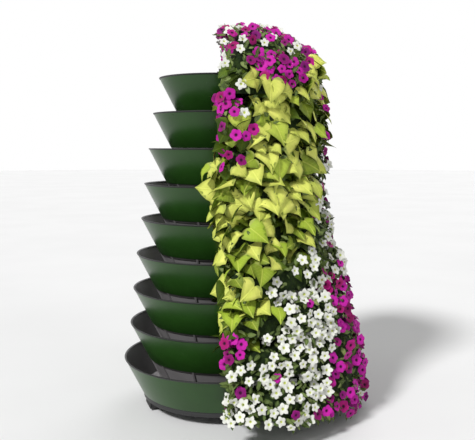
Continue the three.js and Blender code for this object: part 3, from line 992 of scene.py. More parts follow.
class Foliage:
    """The outer face of one tier's foliage, as a drape of (radius, level) points at each angle."""

    def __init__(self, tier):
        self.tier = tier
        self.rim = rim_level(tier)
        self.steps, self.outer, self.hem = foliage_edge(tier)
        self.height = BOX[f"planting_{tier}"][1].z - self.rim
        drape = np.array(self.drape(SIDE))
        spans = np.hypot(*np.diff(drape, axis=0).T)
        self.weights = spans * (drape[1:, 0] + drape[:-1, 0])
        if tier < TOP_TIER:
            self.weights[0] *= INNER_SLOPE_SHARE

    def outer_at(self, angle):
        return interpolated(angle, self.steps, self.outer)

    def hem_at(self, angle):
        """Level of the lowest leaves. Those of the lowest tier trail further down at the planted side."""
        hem = interpolated(angle, self.steps, self.hem)
        if self.tier == 1:
            hem += interpolated(fold(angle), HEM_TURNS, HEM_LIFTS)
        return hem

    def drape(self, angle):
        """From the inner top over the shoulder and down to the hem."""
        outer = self.outer_at(angle)
        hem = self.hem_at(angle)
        if self.tier == TOP_TIER:
            mound = [(outer * r, self.rim + self.height * h)
                     for r, h in zip(MOUND_RADIUS_SHARES, MOUND_HEIGHT_SHARES)]
            return mound + [(outer, hem)]
        top = self.rim + INNER_TOP_ABOVE_RIM
        inner = shell_radius(self.tier + 1, top) + INNER_CLEARANCE
        crown = self.rim + CROWN_ABOVE_RIM
        shoulder = [(outer - SHOULDER, crown), (outer - SHOULDER / 4, crown - SHOULDER)]
        return [(inner, top)] + shoulder + [(outer, hem)]

    def spot(self, angle, span, along):
        """Place, outward direction and downhill direction at a share along one span of the drape."""
        drape = self.drape(angle)
        near = Vector(drape[span])
        far = Vector(drape[span + 1])
        radius, level = near.lerp(far, along)
        fall = (far - near).normalized()
        if span + 2 < len(drape):
            following = (Vector(drape[span + 2]) - far).normalized()
            fall = fall.lerp(following, along * SLOPE_EASE).normalized()
        down = around(fall.x, angle, fall.y)
        outward = around(-fall.y, angle, fall.x)
        return around(radius, angle, level), outward, down

    def inside_at(self, level):
        """Radius from which plants grow at a level where the planted half ends: clear of the shells and of
        the mast, and from the axis on above the watering cap."""
        if level < self.rim:
            return shell_radius(self.tier, level) + EDGE_CLEARANCE
        if self.tier < TOP_TIER:
            return shell_radius(self.tier + 1, level) + EDGE_CLEARANCE
        if level < BOX["watering_cap"][1].z + CAP_ROOM:
            return mast_radius() + EDGE_CLEARANCE
        return 0

    def edge_spot(self, side, reach, generator):
        """A place on the cut face where the planted half ends: side -1 at the front and 1 at the back."""
        angle = CUT_ANGLE if side < 0 else FRONT_TO_BACK - CUT_ANGLE
        drape = self.drape(angle)
        radii = [point[0] for point in drape][::-1]
        levels = [point[1] for point in drape][::-1]
        level = generator.uniform(levels[0], max(levels))
        outer = max(r for r, z in zip(radii, levels) if z >= level - EDGE_OVERHANG)
        near, far = self.inside_at(level), outer - EDGE_MARGIN
        radius = generator.uniform(min(near, far), max(near, far))
        face = radius * math.sin(math.radians(CUT_ANGLE)) + cut_inset(level) - CUT_COVER
        depth = max(face, interpolated(level, CUT_LEVELS, CUT_DEPTHS)) + generator.uniform(*CUT_SCATTER)
        reach *= interpolated(level, REACH_LEVELS, REACH_SHARES) * generator.random()
        place = Vector((depth - reach, side * radius, level))
        outward = Vector((-1, side * generator.uniform(*CUT_SLANT), generator.uniform(*CUT_LIFT)))
        outward.normalize()
        down = outward.cross(Vector((0, 0, -1)).cross(outward)).normalized()
        return place, outward, down


# Which plants grow where, read off the photograph as angles from the front at levels above the ground

VINE_LEVELS = (0.42, 0.48, 0.53, 0.60, 0.66, 0.72, 0.80, 0.87, 0.94, 1.10, 1.20, 1.35, 1.50, 1.60, 1.70)
VINE_EDGES = (6, 15, 20, 27, 25, 23, 31, 42, 54, 56, 60, 63, 61, 62, 66)
VINE_FOOT = (0.44, 0.50)
VINE_TOP_TURNS = (0, 15, 25, 45, 60)
VINE_TOPS = (1.54, 1.57, 1.62, 1.68, 1.71)
VINE_TOP_FADE = 0.04
DRIFT_LEVELS = (0.05, 0.10, 0.17, 0.225, 0.41, 0.69, 0.95, 1.27)
DRIFT_EDGES = (28, 31, 37, 45, 52, 54, 60, 58)
EDGE_WAVE = 1.5
TOP_WAVE = 0.01
SLOW_WAVE = (0.21, 17)
QUICK_WAVE = (0.53, 31)
QUICK_SHARE = 0.6
VINE_FADE = 1.5
DRIFT_FADE = 2
STRAY_SHIFT = 6
LEAF_OVERHANG = 0.05

# Ovals on the foliage: the angle and level of the middle, then half the width in degrees and half the height

CROWN_CLUSTERS = ((32, 1.722, 18, 0.078), (70, 1.84, 12, 0.035))
LEFT_CLUSTERS = ((6, 1.545, 8, 0.050), (9, 1.42, 13, 0.034), (7, 1.295, 9, 0.040), (5, 0.465, 6, 0.065))
CROWN_LEAVES = ((41, 1.845, 4, 0.020), (68, 1.770, 6, 0.020))
HIGH_LEAVES = ((20, 1.650, 5, 0.030),)
DARK_GAPS = ((16, 1.590, 13, 0.028), (5, 1.665, 6, 0.045), (36, 0.73, 7, 0.050), (22, 0.56, 5, 0.035),
             (15, 0.45, 6, 0.040))
BARE_OF_WHITE = ((5, 0.315, 6, 0.050),)
OVAL_EDGE = (0.85, 1.15)

# Bands of levels on the foliage: where a change from one plant to another begins and where it is full

DRIFT_THINS = (0.66, 0.78)
DRIFT_CLEARS = (0.66, 0.80)
SHADE_START = (0.70, 0.80)
WHITE_THINS = (0.72, 0.85)
STRAY_VINE_START = (0.75, 0.85)
CASCADE_FILLS = (0.85, 1.05)
MIDDLE_END = (1.2, 1.3)
WHITE_END = (1.25, 1.35)
DRIFT_END = (1.28, 1.34)
SIDE_VINE_START = (1.30, 1.38)
HIGH_WHITE_START = (1.30, 1.50)
SHADE_TOP_START = (1.56, 1.60)
CROWN_START = (1.70, 1.74)
CORNER_START = (1.72, 1.76)
BLOOM_CROWN_START = (1.78, 1.84)
MAGENTA_CROWN_START = (1.83, 1.87)
CROWN_TOP = (1.90, 1.95)

# The same for angles from the front

CUT_CORNER = (12, 18)
SHADE_CORNER = (12, 20)
CROWN_VINE_TURNS = (38, 48)
SIDE_VINE_TURNS = (55, 60)
SHADE_THINS = (55, 65)
STRAY_VINE_TURNS = (56, 62)
SIDE_BLOOM_TURNS = (60, 66)
DRIFT_BARES = (70, 80)
DRIFT_FILLS = (70, 82)


def wobble(angle, level, size):
    """A slow wave that keeps the borders between plants uneven."""
    slow = math.sin(angle * SLOW_WAVE[0] + level * SLOW_WAVE[1])
    quick = math.sin(angle * QUICK_WAVE[0] - level * QUICK_WAVE[1])
    return size * (slow + QUICK_SHARE * quick)


def past(value, band):
    """0 before the band, 1 after it."""
    return ramp(value, *band)


def before(value, band):
    """1 before the band, 0 after it."""
    return 1 - ramp(value, *band)


def in_ovals(angle, level, ovals):
    """1 inside any of the upright ovals on the foliage, 0 outside them all."""
    distances = [math.hypot((angle - middle) / wide, (level - height) / tall)
                 for middle, height, wide, tall in ovals]
    return before(min(distances), OVAL_EDGE)


def in_vine(angle, level):
    """1 in the lime vine's cascade, 0 outside it."""
    edge = interpolated(level, VINE_LEVELS, VINE_EDGES) + wobble(angle, level, EDGE_WAVE)
    top = interpolated(angle, VINE_TOP_TURNS, VINE_TOPS) + wobble(angle, level, TOP_WAVE)
    inside = past(level, VINE_FOOT) * before(level, (top - VINE_TOP_FADE, top))
    return inside * before(angle, (edge - VINE_FADE, edge + VINE_FADE))


def in_magenta_drift(angle, level):
    """1 in the magenta drift low on the planted side."""
    edge = interpolated(level, DRIFT_LEVELS, DRIFT_EDGES) + wobble(angle, level, EDGE_WAVE)
    return past(angle, (edge - DRIFT_FADE, edge + DRIFT_FADE))


# Densities, as shares of a plant's closest growth

def vine_density(angle, level):
    """How dense the lime leaves are, from 0 to 1: the cascade, its thin fringes, and groups in the crown."""
    angle = fold(angle)
    cascade = in_vine(angle, level) * (1 - 0.93 * in_ovals(angle, level, LEFT_CLUSTERS))
    cascade *= 0.78 + 0.22 * past(level, CASCADE_FILLS)
    side = past(level, SIDE_VINE_START) * before(level, BLOOM_CROWN_START) * past(angle, SIDE_VINE_TURNS)
    stray = past(level, STRAY_VINE_START) * before(level, MIDDLE_END) * before(angle, STRAY_VINE_TURNS)
    crown = past(level, CROWN_START) * before(level, CROWN_TOP) * past(angle, CROWN_VINE_TURNS)
    high = in_ovals(angle, level, HIGH_LEAVES)
    densest = max(cascade, side * 0.62, stray * 0.04, crown * 0.12, high)
    # Leaves hang down, so the blooms in the crown need the space above them bare too
    bare = max(in_ovals(angle, level, CROWN_CLUSTERS),
               in_ovals(angle, level - LEAF_OVERHANG, CROWN_CLUSTERS),
               in_ovals(angle, level, DARK_GAPS))
    return max(densest * (1 - bare), 0.7 * in_ovals(angle, level, CROWN_LEAVES))


def shade_density(angle, level):
    """How dense the vine leaves are that stand deep in the foliage, in the shade of the others, which is
    painted into their dark colour.
    """
    angle = fold(angle)
    top = past(level, SHADE_TOP_START) * before(level, BLOOM_CROWN_START) * 0.8
    side = past(level, MIDDLE_END) * before(level, BLOOM_CROWN_START) * (0.7 - 0.3 * past(angle, SHADE_THINS))
    low = past(level, SHADE_START) * before(level, MIDDLE_END) * 0.45
    corner = past(level, CROWN_START) * before(angle, SHADE_CORNER)
    return max(in_vine(angle, level), top, side, low) * (1 - corner)


def magenta_density(angle, level):
    """How dense the magenta blooms are: the drift, the crown, the clusters and a few strays."""
    angle = fold(angle)
    drift = in_magenta_drift(angle, level) * (1 - 0.90 * past(level, DRIFT_THINS))
    drift *= before(level, DRIFT_END)
    drift *= 0.42 + 0.26 * past(angle, DRIFT_FILLS)
    side = past(level, DRIFT_END) * past(angle, SIDE_BLOOM_TURNS) * 0.05
    crown = past(level, MAGENTA_CROWN_START) * 0.50
    corner = past(level, CORNER_START) * before(angle, CUT_CORNER) * 0.25
    stray = 0.025 * (1 - in_vine(angle - STRAY_SHIFT, level))
    clusters = max(in_ovals(angle, level, CROWN_CLUSTERS), in_ovals(angle, level, LEFT_CLUSTERS) * 0.85)
    densest = max(drift, side, crown, corner, stray, clusters)
    return densest * (1 - in_ovals(angle, level, CROWN_LEAVES))


def white_density(angle, level):
    """How dense the white blooms are: the low half between the vine and the drift, and the crown."""
    angle = fold(angle)
    low = (1 - in_vine(angle, level)) * (1 - 0.72 * past(level, WHITE_THINS)) * before(level, WHITE_END)
    low *= 1 - 0.97 * in_magenta_drift(angle, level) * before(level, DRIFT_CLEARS)
    crown = past(level, BLOOM_CROWN_START) * 0.35
    corner = past(level, CROWN_START) * before(angle, CUT_CORNER) * 0.40
    high = 0.02 * past(level, HIGH_WHITE_START)
    clear = 1 - 0.9 * in_ovals(angle, level, CROWN_CLUSTERS)
    for ovals in (LEFT_CLUSTERS, CROWN_LEAVES, BARE_OF_WHITE, DARK_GAPS):
        clear *= 1 - in_ovals(angle, level, ovals)
    return max(low * 0.95, crown, corner, high) * clear


def leaf_density(angle, level):
    """How dense the petunias' own leaves are: thin in the vine, the dark gaps and the drift."""
    angle = fold(angle)
    drift = in_magenta_drift(angle, level) * before(level, DRIFT_THINS) * 0.5 * before(angle, DRIFT_BARES)
    gaps = in_ovals(angle, level, DARK_GAPS)
    return (1 - 0.80 * in_vine(angle, level)) * (1 - 0.75 * gaps) * (1 - drift)


# Sowing

PLANTED = {}
TOO_SPARSE = 0.015
SEEDS_APART = 100
CLUMP_SCALE = 10
CLUMP_NOISE = (-0.4, 0.4)
CLUMP_SWING = 1.1


def clump(place, strength):
    """Draws plants together into clumps with hollows between them."""
    swing = 2 * CLUMP_SWING * past(noise.noise(place * CLUMP_SCALE), CLUMP_NOISE)
    return 1 + strength * (swing - CLUMP_SWING)


def is_clear(kind, tier, place, room):
    """Whether no other kind of plant, on this tier or the next, stands in a plant's way."""
    for (other, other_tier), (places, other_room) in PLANTED.items():
        if other == kind or abs(other_tier - tier) > 1:
            continue
        if too_near(places, place, (room + other_room) / 2):
            return False
    return True


def too_near(places, place, gap):
    return (((places - place) ** 2).sum(axis=1) < gap ** 2).any()


def sow(kind, tier, density, spacing, seed, clumping, room, reach=0, tries=3000, edge_tries=900):
    """Spots for one kind of plant on a tier, first on the drape, then on the cut face. A spot is kept where
    no other lies nearer than the spacing, which grows as the plant gets sparser. A kind with a room, even
    0, keeps half the sum of both rooms from each kind sown before it whose room is more than 0."""
    generator = np.random.default_rng(seed * SEEDS_APART + tier)
    foliage = Foliage(tier)
    chances = foliage.weights / foliage.weights.sum()
    if tier == TOP_TIER:
        edge_tries *= 2
    spots = []
    kept = np.zeros((tries + edge_tries, 3))
    for attempt in range(tries + edge_tries):
        if attempt < tries:
            angle = generator.uniform(CUT_ANGLE, FRONT_TO_BACK - CUT_ANGLE)
            span = int(generator.choice(len(chances), p=chances))
            place, outward, down = foliage.spot(angle, span, generator.random())
        else:
            side = -1 if attempt % 2 else 1
            angle = CUT_ANGLE if side < 0 else FRONT_TO_BACK - CUT_ANGLE
            place, outward, down = foliage.edge_spot(side, reach, generator)
        here = density(angle, place.z) * clump(place, clumping)
        if here < TOO_SPARSE or too_near(kept[:len(spots)], place, spacing / math.sqrt(here)):
            continue
        if room is not None and not is_clear(kind, tier, place, room):
            continue
        kept[len(spots)] = place
        spots.append((place, outward, down))
    if room:
        PLANTED[kind, tier] = (kept[:len(spots)], room)
    return spots, generator


# Leaves and blooms: templates that are bent and placed many times over

VINE_LEAF_HALF = ((0, 0), (0.08, 0.12), (0.24, 0.19), (0.43, 0.15), (0.56, -0.02), (0.555, -0.22),
                  (0.47, -0.42), (0.32, -0.62), (0.14, -0.82), (0, -1))
LOBED_LEAF_HALF = ((0, 0), (0.09, 0.16), (0.30, 0.26), (0.50, 0.16), (0.75, -0.10), (0.51, -0.26),
                   (0.41, -0.44), (0.28, -0.64), (0.11, -0.84), (0, -1))
SMALL_LEAF_HALF = ((0, 0), (0.13, -0.12), (0.22, -0.32), (0.22, -0.56), (0.13, -0.80), (0, -1))
VINE_HUB = (0, -0.16)
SMALL_HUB = (0, -0.45)
VINE_RINGS = (0.35, 0.7)
VINE_THICKNESS = 0.014
SMALL_THICKNESS = 0.03
NOTCH_DEPTH = 0.14
LOBING = 0.6
PETIOLE_HALF = 0.016
PETIOLE_STATIONS = ((0.01, -0.02, 1), (0.16, -0.16, 1), (0.24, -0.42, 1.4))
ANY_WAVE = 6.3
LIGHT_LIFT = 0.25


def even_turns(count):
    return np.arange(count) * 2 * np.pi / count


def whole_outline(half):
    """A leaf's outline from one half of it, notch to tip and back."""
    return np.array(list(half) + [(-x, y) for x, y in half[-2:0:-1]], float)


def petiole():
    """A square stalk from the leaf's notch back into the undergrowth, in the leaf's own unit."""
    corners = ((-PETIOLE_HALF, 0), (0, PETIOLE_HALF), (PETIOLE_HALF, 0), (0, -PETIOLE_HALF))
    rings = [[(x * swell, y, z * swell + level) for x, z in corners] for y, level, swell in PETIOLE_STATIONS]
    points, faces = lofted(rings)
    return np.array(points), faces


class PlantTemplate:
    """A closed shape that is placed many times over, each time a little different."""

    def grow(self, spots, sizes, generator):
        """Points, faces and marks of a copy at each spot."""
        points = []
        marks = []
        faces = []
        for size, (origin, axes) in zip(sizes, spots):
            local, mark = self.vary(generator)
            mark[:, 2] = generator.random()
            start = len(points) * len(local)
            faces.extend([[start + corner for corner in face] for face in self.faces])
            points.append(local * size @ axes.T + origin)
            marks.append(mark)
        return np.concatenate(points), faces, np.concatenate(marks)


class LeafTemplate(PlantTemplate):
    """A thin closed leaf: rings of points from a hub to the outline on its face and on its back."""

    def __init__(self, halves, hub, ring_shares, thickness, stalk=None):
        outlines = [whole_outline(half) for half in halves]
        self.thickness = thickness
        self.count = len(outlines[0])
        self.flats = [self.flat_points(outline, np.array(hub), ring_shares) for outline in outlines]
        rings = len(ring_shares)
        inner = 1 + self.count * rings
        self.face_side = np.array([1.0] * inner + [0.5] * self.count + [0.0] * inner)
        one_side = [0.0] + [ring for ring in ring_shares for _ in range(self.count)]
        self.outward = np.array(one_side + [1.0] * self.count + one_side)
        turns = even_turns(self.count)
        around_side = np.concatenate([[0.0], np.tile(turns, rings)])
        self.turns = np.concatenate([around_side, turns, around_side])
        self.faces = []
        self.add_side(0, rings, inner, face=True)
        self.add_side(inner + self.count, rings, inner, face=False)
        self.stalk, stalk_faces = stalk or (np.zeros((0, 3)), [])
        self.faces += [[len(self.turns) + corner for corner in face] for face in stalk_faces]

    def flat_points(self, outline, hub, ring_shares):
        half = [hub[None]] + [hub + (outline - hub) * ring for ring in ring_shares]
        return np.concatenate(half + [outline] + half)

    def add_side(self, start, rings, outline_start, face):
        """Triangles from the hub to the first ring, and squares from ring to ring and to the outline."""
        bands = [start + 1 + ring * self.count for ring in range(rings)] + [outline_start]
        for i in range(self.count):
            after = (i + 1) % self.count
            fan = [start, bands[0] + i, bands[0] + after]
            self.faces.append(fan if face else fan[::-1])
            for near, far in zip(bands, bands[1:]):
                square = [near + i, far + i, far + after, near + after]
                self.faces.append(square if face else square[::-1])

    def bent(self, flat, generator):
        """The height of each point above the flat leaf: a crease, a curl, a droop, a twist and ripples."""
        x, y = flat.T
        crease, curl, droop = generator.uniform((0.05, 0.0, 0.05), (0.45, 0.9, 0.50))
        twist, ripple = generator.uniform((-0.35, 0.02), (0.35, 0.07))
        waves = ripple * np.sin(self.turns * generator.integers(3, 6) + generator.uniform(0, ANY_WAVE))
        height = crease * np.abs(x) - curl * x ** 2 - droop * (y + 0.1) ** 2 + twist * x * y
        return height + waves * self.outward ** 2

    def vary(self, generator):
        """Points and marks of one leaf, its outline between the template's two and its face bent."""
        blend = generator.random() ** LOBING
        flat = self.flats[0] * (1 - blend) + self.flats[-1] * blend
        height = self.bent(flat, generator) - self.thickness * (self.face_side == 0)
        mark = np.zeros((len(flat) + len(self.stalk), 4))
        mark[:len(flat), 0] = flat[:, 0]
        mark[:len(flat), 1] = NOTCH_DEPTH - flat[:, 1]
        mark[:len(flat), 3] = self.face_side
        return np.concatenate([np.column_stack([flat, height]), self.stalk]), mark


class BloomTemplate(PlantTemplate):
    """A closed petunia: a throat and five petals in front, a tube and stalk behind. Width 2, facing +Z."""

    PETALS = 5
    STEPS = 4
    THROAT = -0.34
    STALK_END = -1.7
    FLOPS = (-0.22, 0.12)
    RUFFLES = (-0.10, 0.08)
    CUPPINGS = (-0.16, 0.10)
    SWELLS = (0.94, 1.05)

    def __init__(self, lobe_shares):
        self.count = self.PETALS * self.STEPS
        self.turns = even_turns(self.count)
        lobes = np.tile(lobe_shares, self.PETALS)
        across = np.tile([0, 0.5, 1, 0.5], self.PETALS)
        circle = 0 * lobes
        # Each ring: its radii, its level, its place from throat to edge, and its share of the face's tone
        rings = [
            (0.13 + circle, -0.16, 0.13, 1),
            (0.30 + 0.25 * lobes, 0.00, 0.55, 1),
            (lobes, -0.05, 1.0, 0.6),
            (0.22 + 0.12 * lobes, -0.20, 0.55, 0),
            (0.13 + circle, -0.55, 0.12, 0),
            (0.045 + circle, -0.72, 0.0, 0),
        ]
        points = [(0, 0, self.THROAT)]
        marks = [(0, 0, 0, 1)]
        for radii, level, outward, side in rings:
            points += [(r * math.cos(t), r * math.sin(t), level) for r, t in zip(radii, self.turns)]
            marks += [(outward, a, 0, side) for a in across]
        points.append((0, 0, self.STALK_END))
        marks.append((0, 0, 0, 0))
        self.points = np.array(points)
        self.marks = np.array(marks, float)
        self.rim = slice(1 + 2 * self.count, 1 + 3 * self.count)
        self.faces = self.make_faces(len(rings))

    def make_faces(self, rings):
        faces = []
        for i in range(self.count):
            after = (i + 1) % self.count
            faces.append([0, 1 + i, 1 + after])
            for ring in range(rings - 1):
                near = 1 + ring * self.count
                far = near + self.count
                faces.append([near + i, far + i, far + after, near + after])
            last = 1 + (rings - 1) * self.count
            faces.append([last + after, last + i, last + self.count])
        return faces

    def vary(self, generator):
        """Points and marks of one bloom with a floppy, uneven edge."""
        local = self.points.copy()
        flop = generator.uniform(*self.FLOPS) * np.cos(self.turns + generator.uniform(0, ANY_WAVE))
        local[self.rim, 2] += generator.uniform(*self.RUFFLES, self.count) + flop
        local[self.rim, 2] += generator.uniform(*self.CUPPINGS)
        local[self.rim, :2] *= generator.uniform(*self.SWELLS, (self.count, 1))
        return local, self.marks.copy()


def axes_from(tip, outward):
    """Axes of a leaf whose tip points along -Y and whose face looks along +Z."""
    back = -tip.normalized()
    face = (outward - back * outward.dot(back)).normalized()
    side = back.cross(face)
    return np.array([side, back, face]).T


def hanging_axes(outward, down, generator, sway, tilt_range):
    """Axes of a leaf that hangs down, swings to one side and lifts its tip outward."""
    swing = Matrix.Rotation(generator.normal(0, math.radians(sway)), 3, outward)
    tip = swing @ down
    tilt = math.radians(generator.uniform(*tilt_range))
    lifted = tip * math.cos(tilt) + outward * math.sin(tilt)
    return axes_from(lifted, outward), tilt


def toward_light(place, share):
    """Plants turn to the light, which comes from the front on the front half and the back on the back."""
    return Vector((0, -share if place.y < 0 else share, LIGHT_LIFT))


def make_plants(name, tier, grown, finish):
    """One piece for all the leaves or blooms of a kind on a tier, with their marks for the shader."""
    points, faces, marks = grown
    piece = make_object(name, ([tuple(point) for point in points], faces))
    attribute = piece.data.attributes.new("mark", "FLOAT_COLOR", "POINT")
    attribute.data.foreach_set("color", marks.astype(np.float32).ravel())
    settle(piece, body_of_tier(tier), [f"planting_{tier}"], [finish], SOFT_CREASE)


VINE_ROOM = 0.070
VINE_UNITS = 1.19
VINE_SIZES = (0.62, 1.18)
VINE_SWAY = 42
VINE_TILTS = (8, 60)
VINE_HANG = 0.45
VINE_TILT_SINK = 0.55
SMALL_SIZES = (0.6, 1.35)
SMALL_DEPTHS = (0.012, 0.036)
SMALL_TRIES = 11000
SMALL_EDGE_TRIES = 2000
SMALL_RISE = (0.1, 1.0)
SMALL_FALL = 0.25
SMALL_TO_LIGHT = 0.4
SMALL_SCATTER = 0.4
BLOOM_ROOM = 0.036
BLOOM_DEPTHS = (-0.014, 0.016)
BLOOM_TO_LIGHT = 0.75
BLOOM_SCATTER = 0.36
WHITE_LOBES = (0.68, 0.88, 1.04, 0.88)
MAGENTA_LOBES = (0.84, 0.96, 1.0, 0.96)


def grow_vine(name, skin, density, spacing, seed, depths, reach=0, room=None):
    """Vine leaves of one finish on every tier, at depths within the range below the foliage's face."""
    unit = settings().foliage.vine_length / VINE_UNITS
    halves = (VINE_LEAF_HALF, LOBED_LEAF_HALF)
    template = LeafTemplate(halves, VINE_HUB, VINE_RINGS, VINE_THICKNESS, petiole())
    for tier in TIERS:
        spots, generator = sow(name, tier, density, spacing, seed, clumping=0.25, room=room, reach=reach)
        if not spots:
            continue
        placed = []
        lengths = []
        for place, outward, down in spots:
            size = unit * generator.uniform(*VINE_SIZES)
            axes, tilt = hanging_axes(outward, down, generator, VINE_SWAY, VINE_TILTS)
            deep = generator.uniform(*depths) + size * math.sin(tilt) * VINE_TILT_SINK
            origin = place - outward * deep - down * size * VINE_HANG
            placed.append((np.array(origin), axes))
            lengths.append(size)
        make_plants(f"{name}_{tier}", tier, template.grow(placed, lengths, generator), skin)


def build_vine_leaves():
    sizes = settings().foliage
    # Painted shade: the two lowest tones are darkened copies of the fresh green that stand for vine leaves in
    # shade, and the lime shade on the backs is painted shade too
    face_with_painted_shade = [(0.0, scaled(sizes.fresh, 0.28)), (0.22, scaled(sizes.fresh, 0.40)), (0.34, sizes.fresh),
             (0.42, scaled(sizes.lime, 0.82)), (1.0, scaled(sizes.lime, 1.02))]
    skin = leaf_skin("lime_vine_leaf", face_with_painted_shade, sizes.fresh, sizes.lime_shade, VINE_STALK, 0.25, 0.42)
    grow_vine("vine_leaves", skin, vine_density, sizes.vine_spacing, seed=11, depths=(-0.024, 0.010),
              reach=0.080, room=VINE_ROOM)
    # Painted shade: the leaves deep in the foliage are painted in darkened lime shade tones that stand for
    # the shade of the leaves above them
    painted_shade_tones = [(0.0, scaled(sizes.lime_shade, 0.35)), (0.7, sizes.lime_shade), (1.0, scaled(sizes.fresh, 0.45))]
    skin = leaf_skin("shaded_vine_leaf", painted_shade_tones, sizes.lime_shade, sizes.deep_green, sizes.lime_shade, 0.2, 0.45)
    grow_vine("shaded_leaves", skin, shade_density, sizes.shade_spacing, seed=13, depths=(0.022, 0.040))


def build_small_leaves():
    sizes = settings().foliage
    template = LeafTemplate([SMALL_LEAF_HALF], SMALL_HUB, (), SMALL_THICKNESS)
    # Partly painted shade: the darker tones, down to the deep green of the backs, stand partly for leaves in
    # shade
    tones = [(0.0, sizes.deep_green), (0.30, scaled(sizes.green, 0.5)), (0.65, sizes.green),
             (1.0, sizes.tip_green)]
    skin = leaf_skin(
        "petunia_leaf", tones, scaled(sizes.green, 0.8), sizes.deep_green, sizes.green, 0.2, 0.50)
    for tier in TIERS:
        tries = round(SMALL_TRIES * rim_radius(tier) / rim_radius(1))
        spots, generator = sow("small_leaves", tier, leaf_density, sizes.leaf_spacing, seed=23, clumping=0.5,
                               room=0, tries=tries, edge_tries=SMALL_EDGE_TRIES)
        placed = []
        lengths = []
        for place, outward, down in spots:
            sideways = Matrix.Rotation(generator.uniform(-math.pi, math.pi), 3, outward) @ down
            tip = sideways + outward * generator.uniform(*SMALL_RISE) + down * SMALL_FALL
            scatter = Vector(generator.normal(0, SMALL_SCATTER, 3))
            facing = outward + toward_light(place, SMALL_TO_LIGHT) + scatter
            origin = place - outward * generator.uniform(*SMALL_DEPTHS)
            placed.append((np.array(origin), axes_from(tip, facing)))
            lengths.append(sizes.leaf_length * generator.uniform(*SMALL_SIZES))
        grown = template.grow(placed, lengths, generator)
        make_plants(f"small_leaves_{tier}", tier, grown, skin)


def grow_blooms(kind, skin, density, spacing, seed, width, variation, lobe_shares):
    """Blooms of one colour on every tier, turned to the light and each a little larger or smaller."""
    template = BloomTemplate(lobe_shares)
    for tier in TIERS:
        spots, generator = sow(kind, tier, density, spacing, seed, clumping=0.45, room=BLOOM_ROOM)
        if not spots:
            continue
        placed = []
        radii = []
        for place, outward, _ in spots:
            scatter = Vector(generator.normal(0, BLOOM_SCATTER, 3))
            facing = outward + toward_light(place, BLOOM_TO_LIGHT) + scatter
            any_side = Vector(generator.normal(0, 1, 3))
            axes = axes_from(any_side.cross(facing), facing)
            origin = place + outward * generator.uniform(*BLOOM_DEPTHS)
            placed.append((np.array(origin), axes))
            radii.append(width / 2 * generator.uniform(1 - variation, 1 + variation))
        grown = template.grow(placed, radii, generator)
        make_plants(f"{kind}_blooms_{tier}", tier, grown, skin)


def build_white_blooms():
    sizes = settings().flower
    # Painted shade: the darker copies of the white stand for blooms in shade
    tones = [(0.0, scaled(sizes.white, 0.80)), (0.25, scaled(sizes.white, 0.93)), (1.0, sizes.white)]
    skin = petal_skin("white_petal", tones, sizes.white_throat, sizes.stalk, throat_edge=(0.10, 0.34))
    grow_blooms("white", skin, white_density, sizes.white_spacing, seed=37, width=sizes.white_width,
                variation=0.16, lobe_shares=WHITE_LOBES)


def build_magenta_blooms():
    sizes = settings().flower
    # Partly real colour, partly painted shade: the purple and crimson are blooms of those colours, and the
    # darker copies of crimson and magenta stand for blooms in shade
    tones = [(0.0, sizes.purple), (0.22, scaled(sizes.crimson, 0.6)), (0.36, sizes.crimson),
             (0.50, scaled(sizes.magenta, 0.75)), (1.0, sizes.magenta)]
    skin = petal_skin("magenta_petal", tones, sizes.magenta_throat, sizes.stalk, throat_edge=(0.12, 0.40))
    grow_blooms("magenta", skin, magenta_density, sizes.magenta_spacing, seed=41, width=sizes.magenta_width,
                variation=0.20, lobe_shares=MAGENTA_LOBES)


# Undergrowth and potting mix

UNDERGROWTH_SECTIONS = 73
UNDERGROWTH_SPACING = 0.022
LUMP_SCALE = 22
LUMP_SIZE = 0.014
LUMP_RISE = 0.5
CROWN_INSETS = 0.6
MOUND_INSETS = 1.15
MIX_SECTIONS = 91
MIX_SPACING = 0.012
MIX_SHELL_GAP = 0.0025
MIX_INNER_GAPS = 1.2
MIX_HEADROOM = 0.004
MIX_CREASE = 70
CRUMB_SCALE, CRUMB_SIZE = 55, 0.006
HEAP_SCALE, HEAP_SIZE = 18, 0.005
SLUMP_TURNS = (0, 8, 15, 24, 30)
SLUMP_SHARES = (0.33, 0.62, 0.80, 0.94, 1.0)
CHIPS = 46
CHIP_SEED = 500
CHIP_SPREAD = 26
CHIP_TURN = 3.1
CHIP_LEAN = 0.5
CHIP_WIDTH, CHIP_THICKNESS, CHIP_EDGE = 0.45, 0.22, 0.1
CHIP_SIZES = (0.008, 0.018)
CHIP_MARGIN = 0.012
CHIP_SUNK = 0.003


def divided(outline, spacing, counts):
    """The closed outline with extra points along its sides, and how many each side got. It takes these
    counts from the section before, so that the points of all sections pair up."""
    made = []
    steps = []
    for i, point in enumerate(outline):
        near = Vector(point)
        far = Vector(outline[(i + 1) % len(outline)])
        steps.append(counts[i] if counts else max(1, round((far - near).length / spacing)))
        made += [near.lerp(far, step / steps[i]) for step in range(steps[i])]
    return made, steps


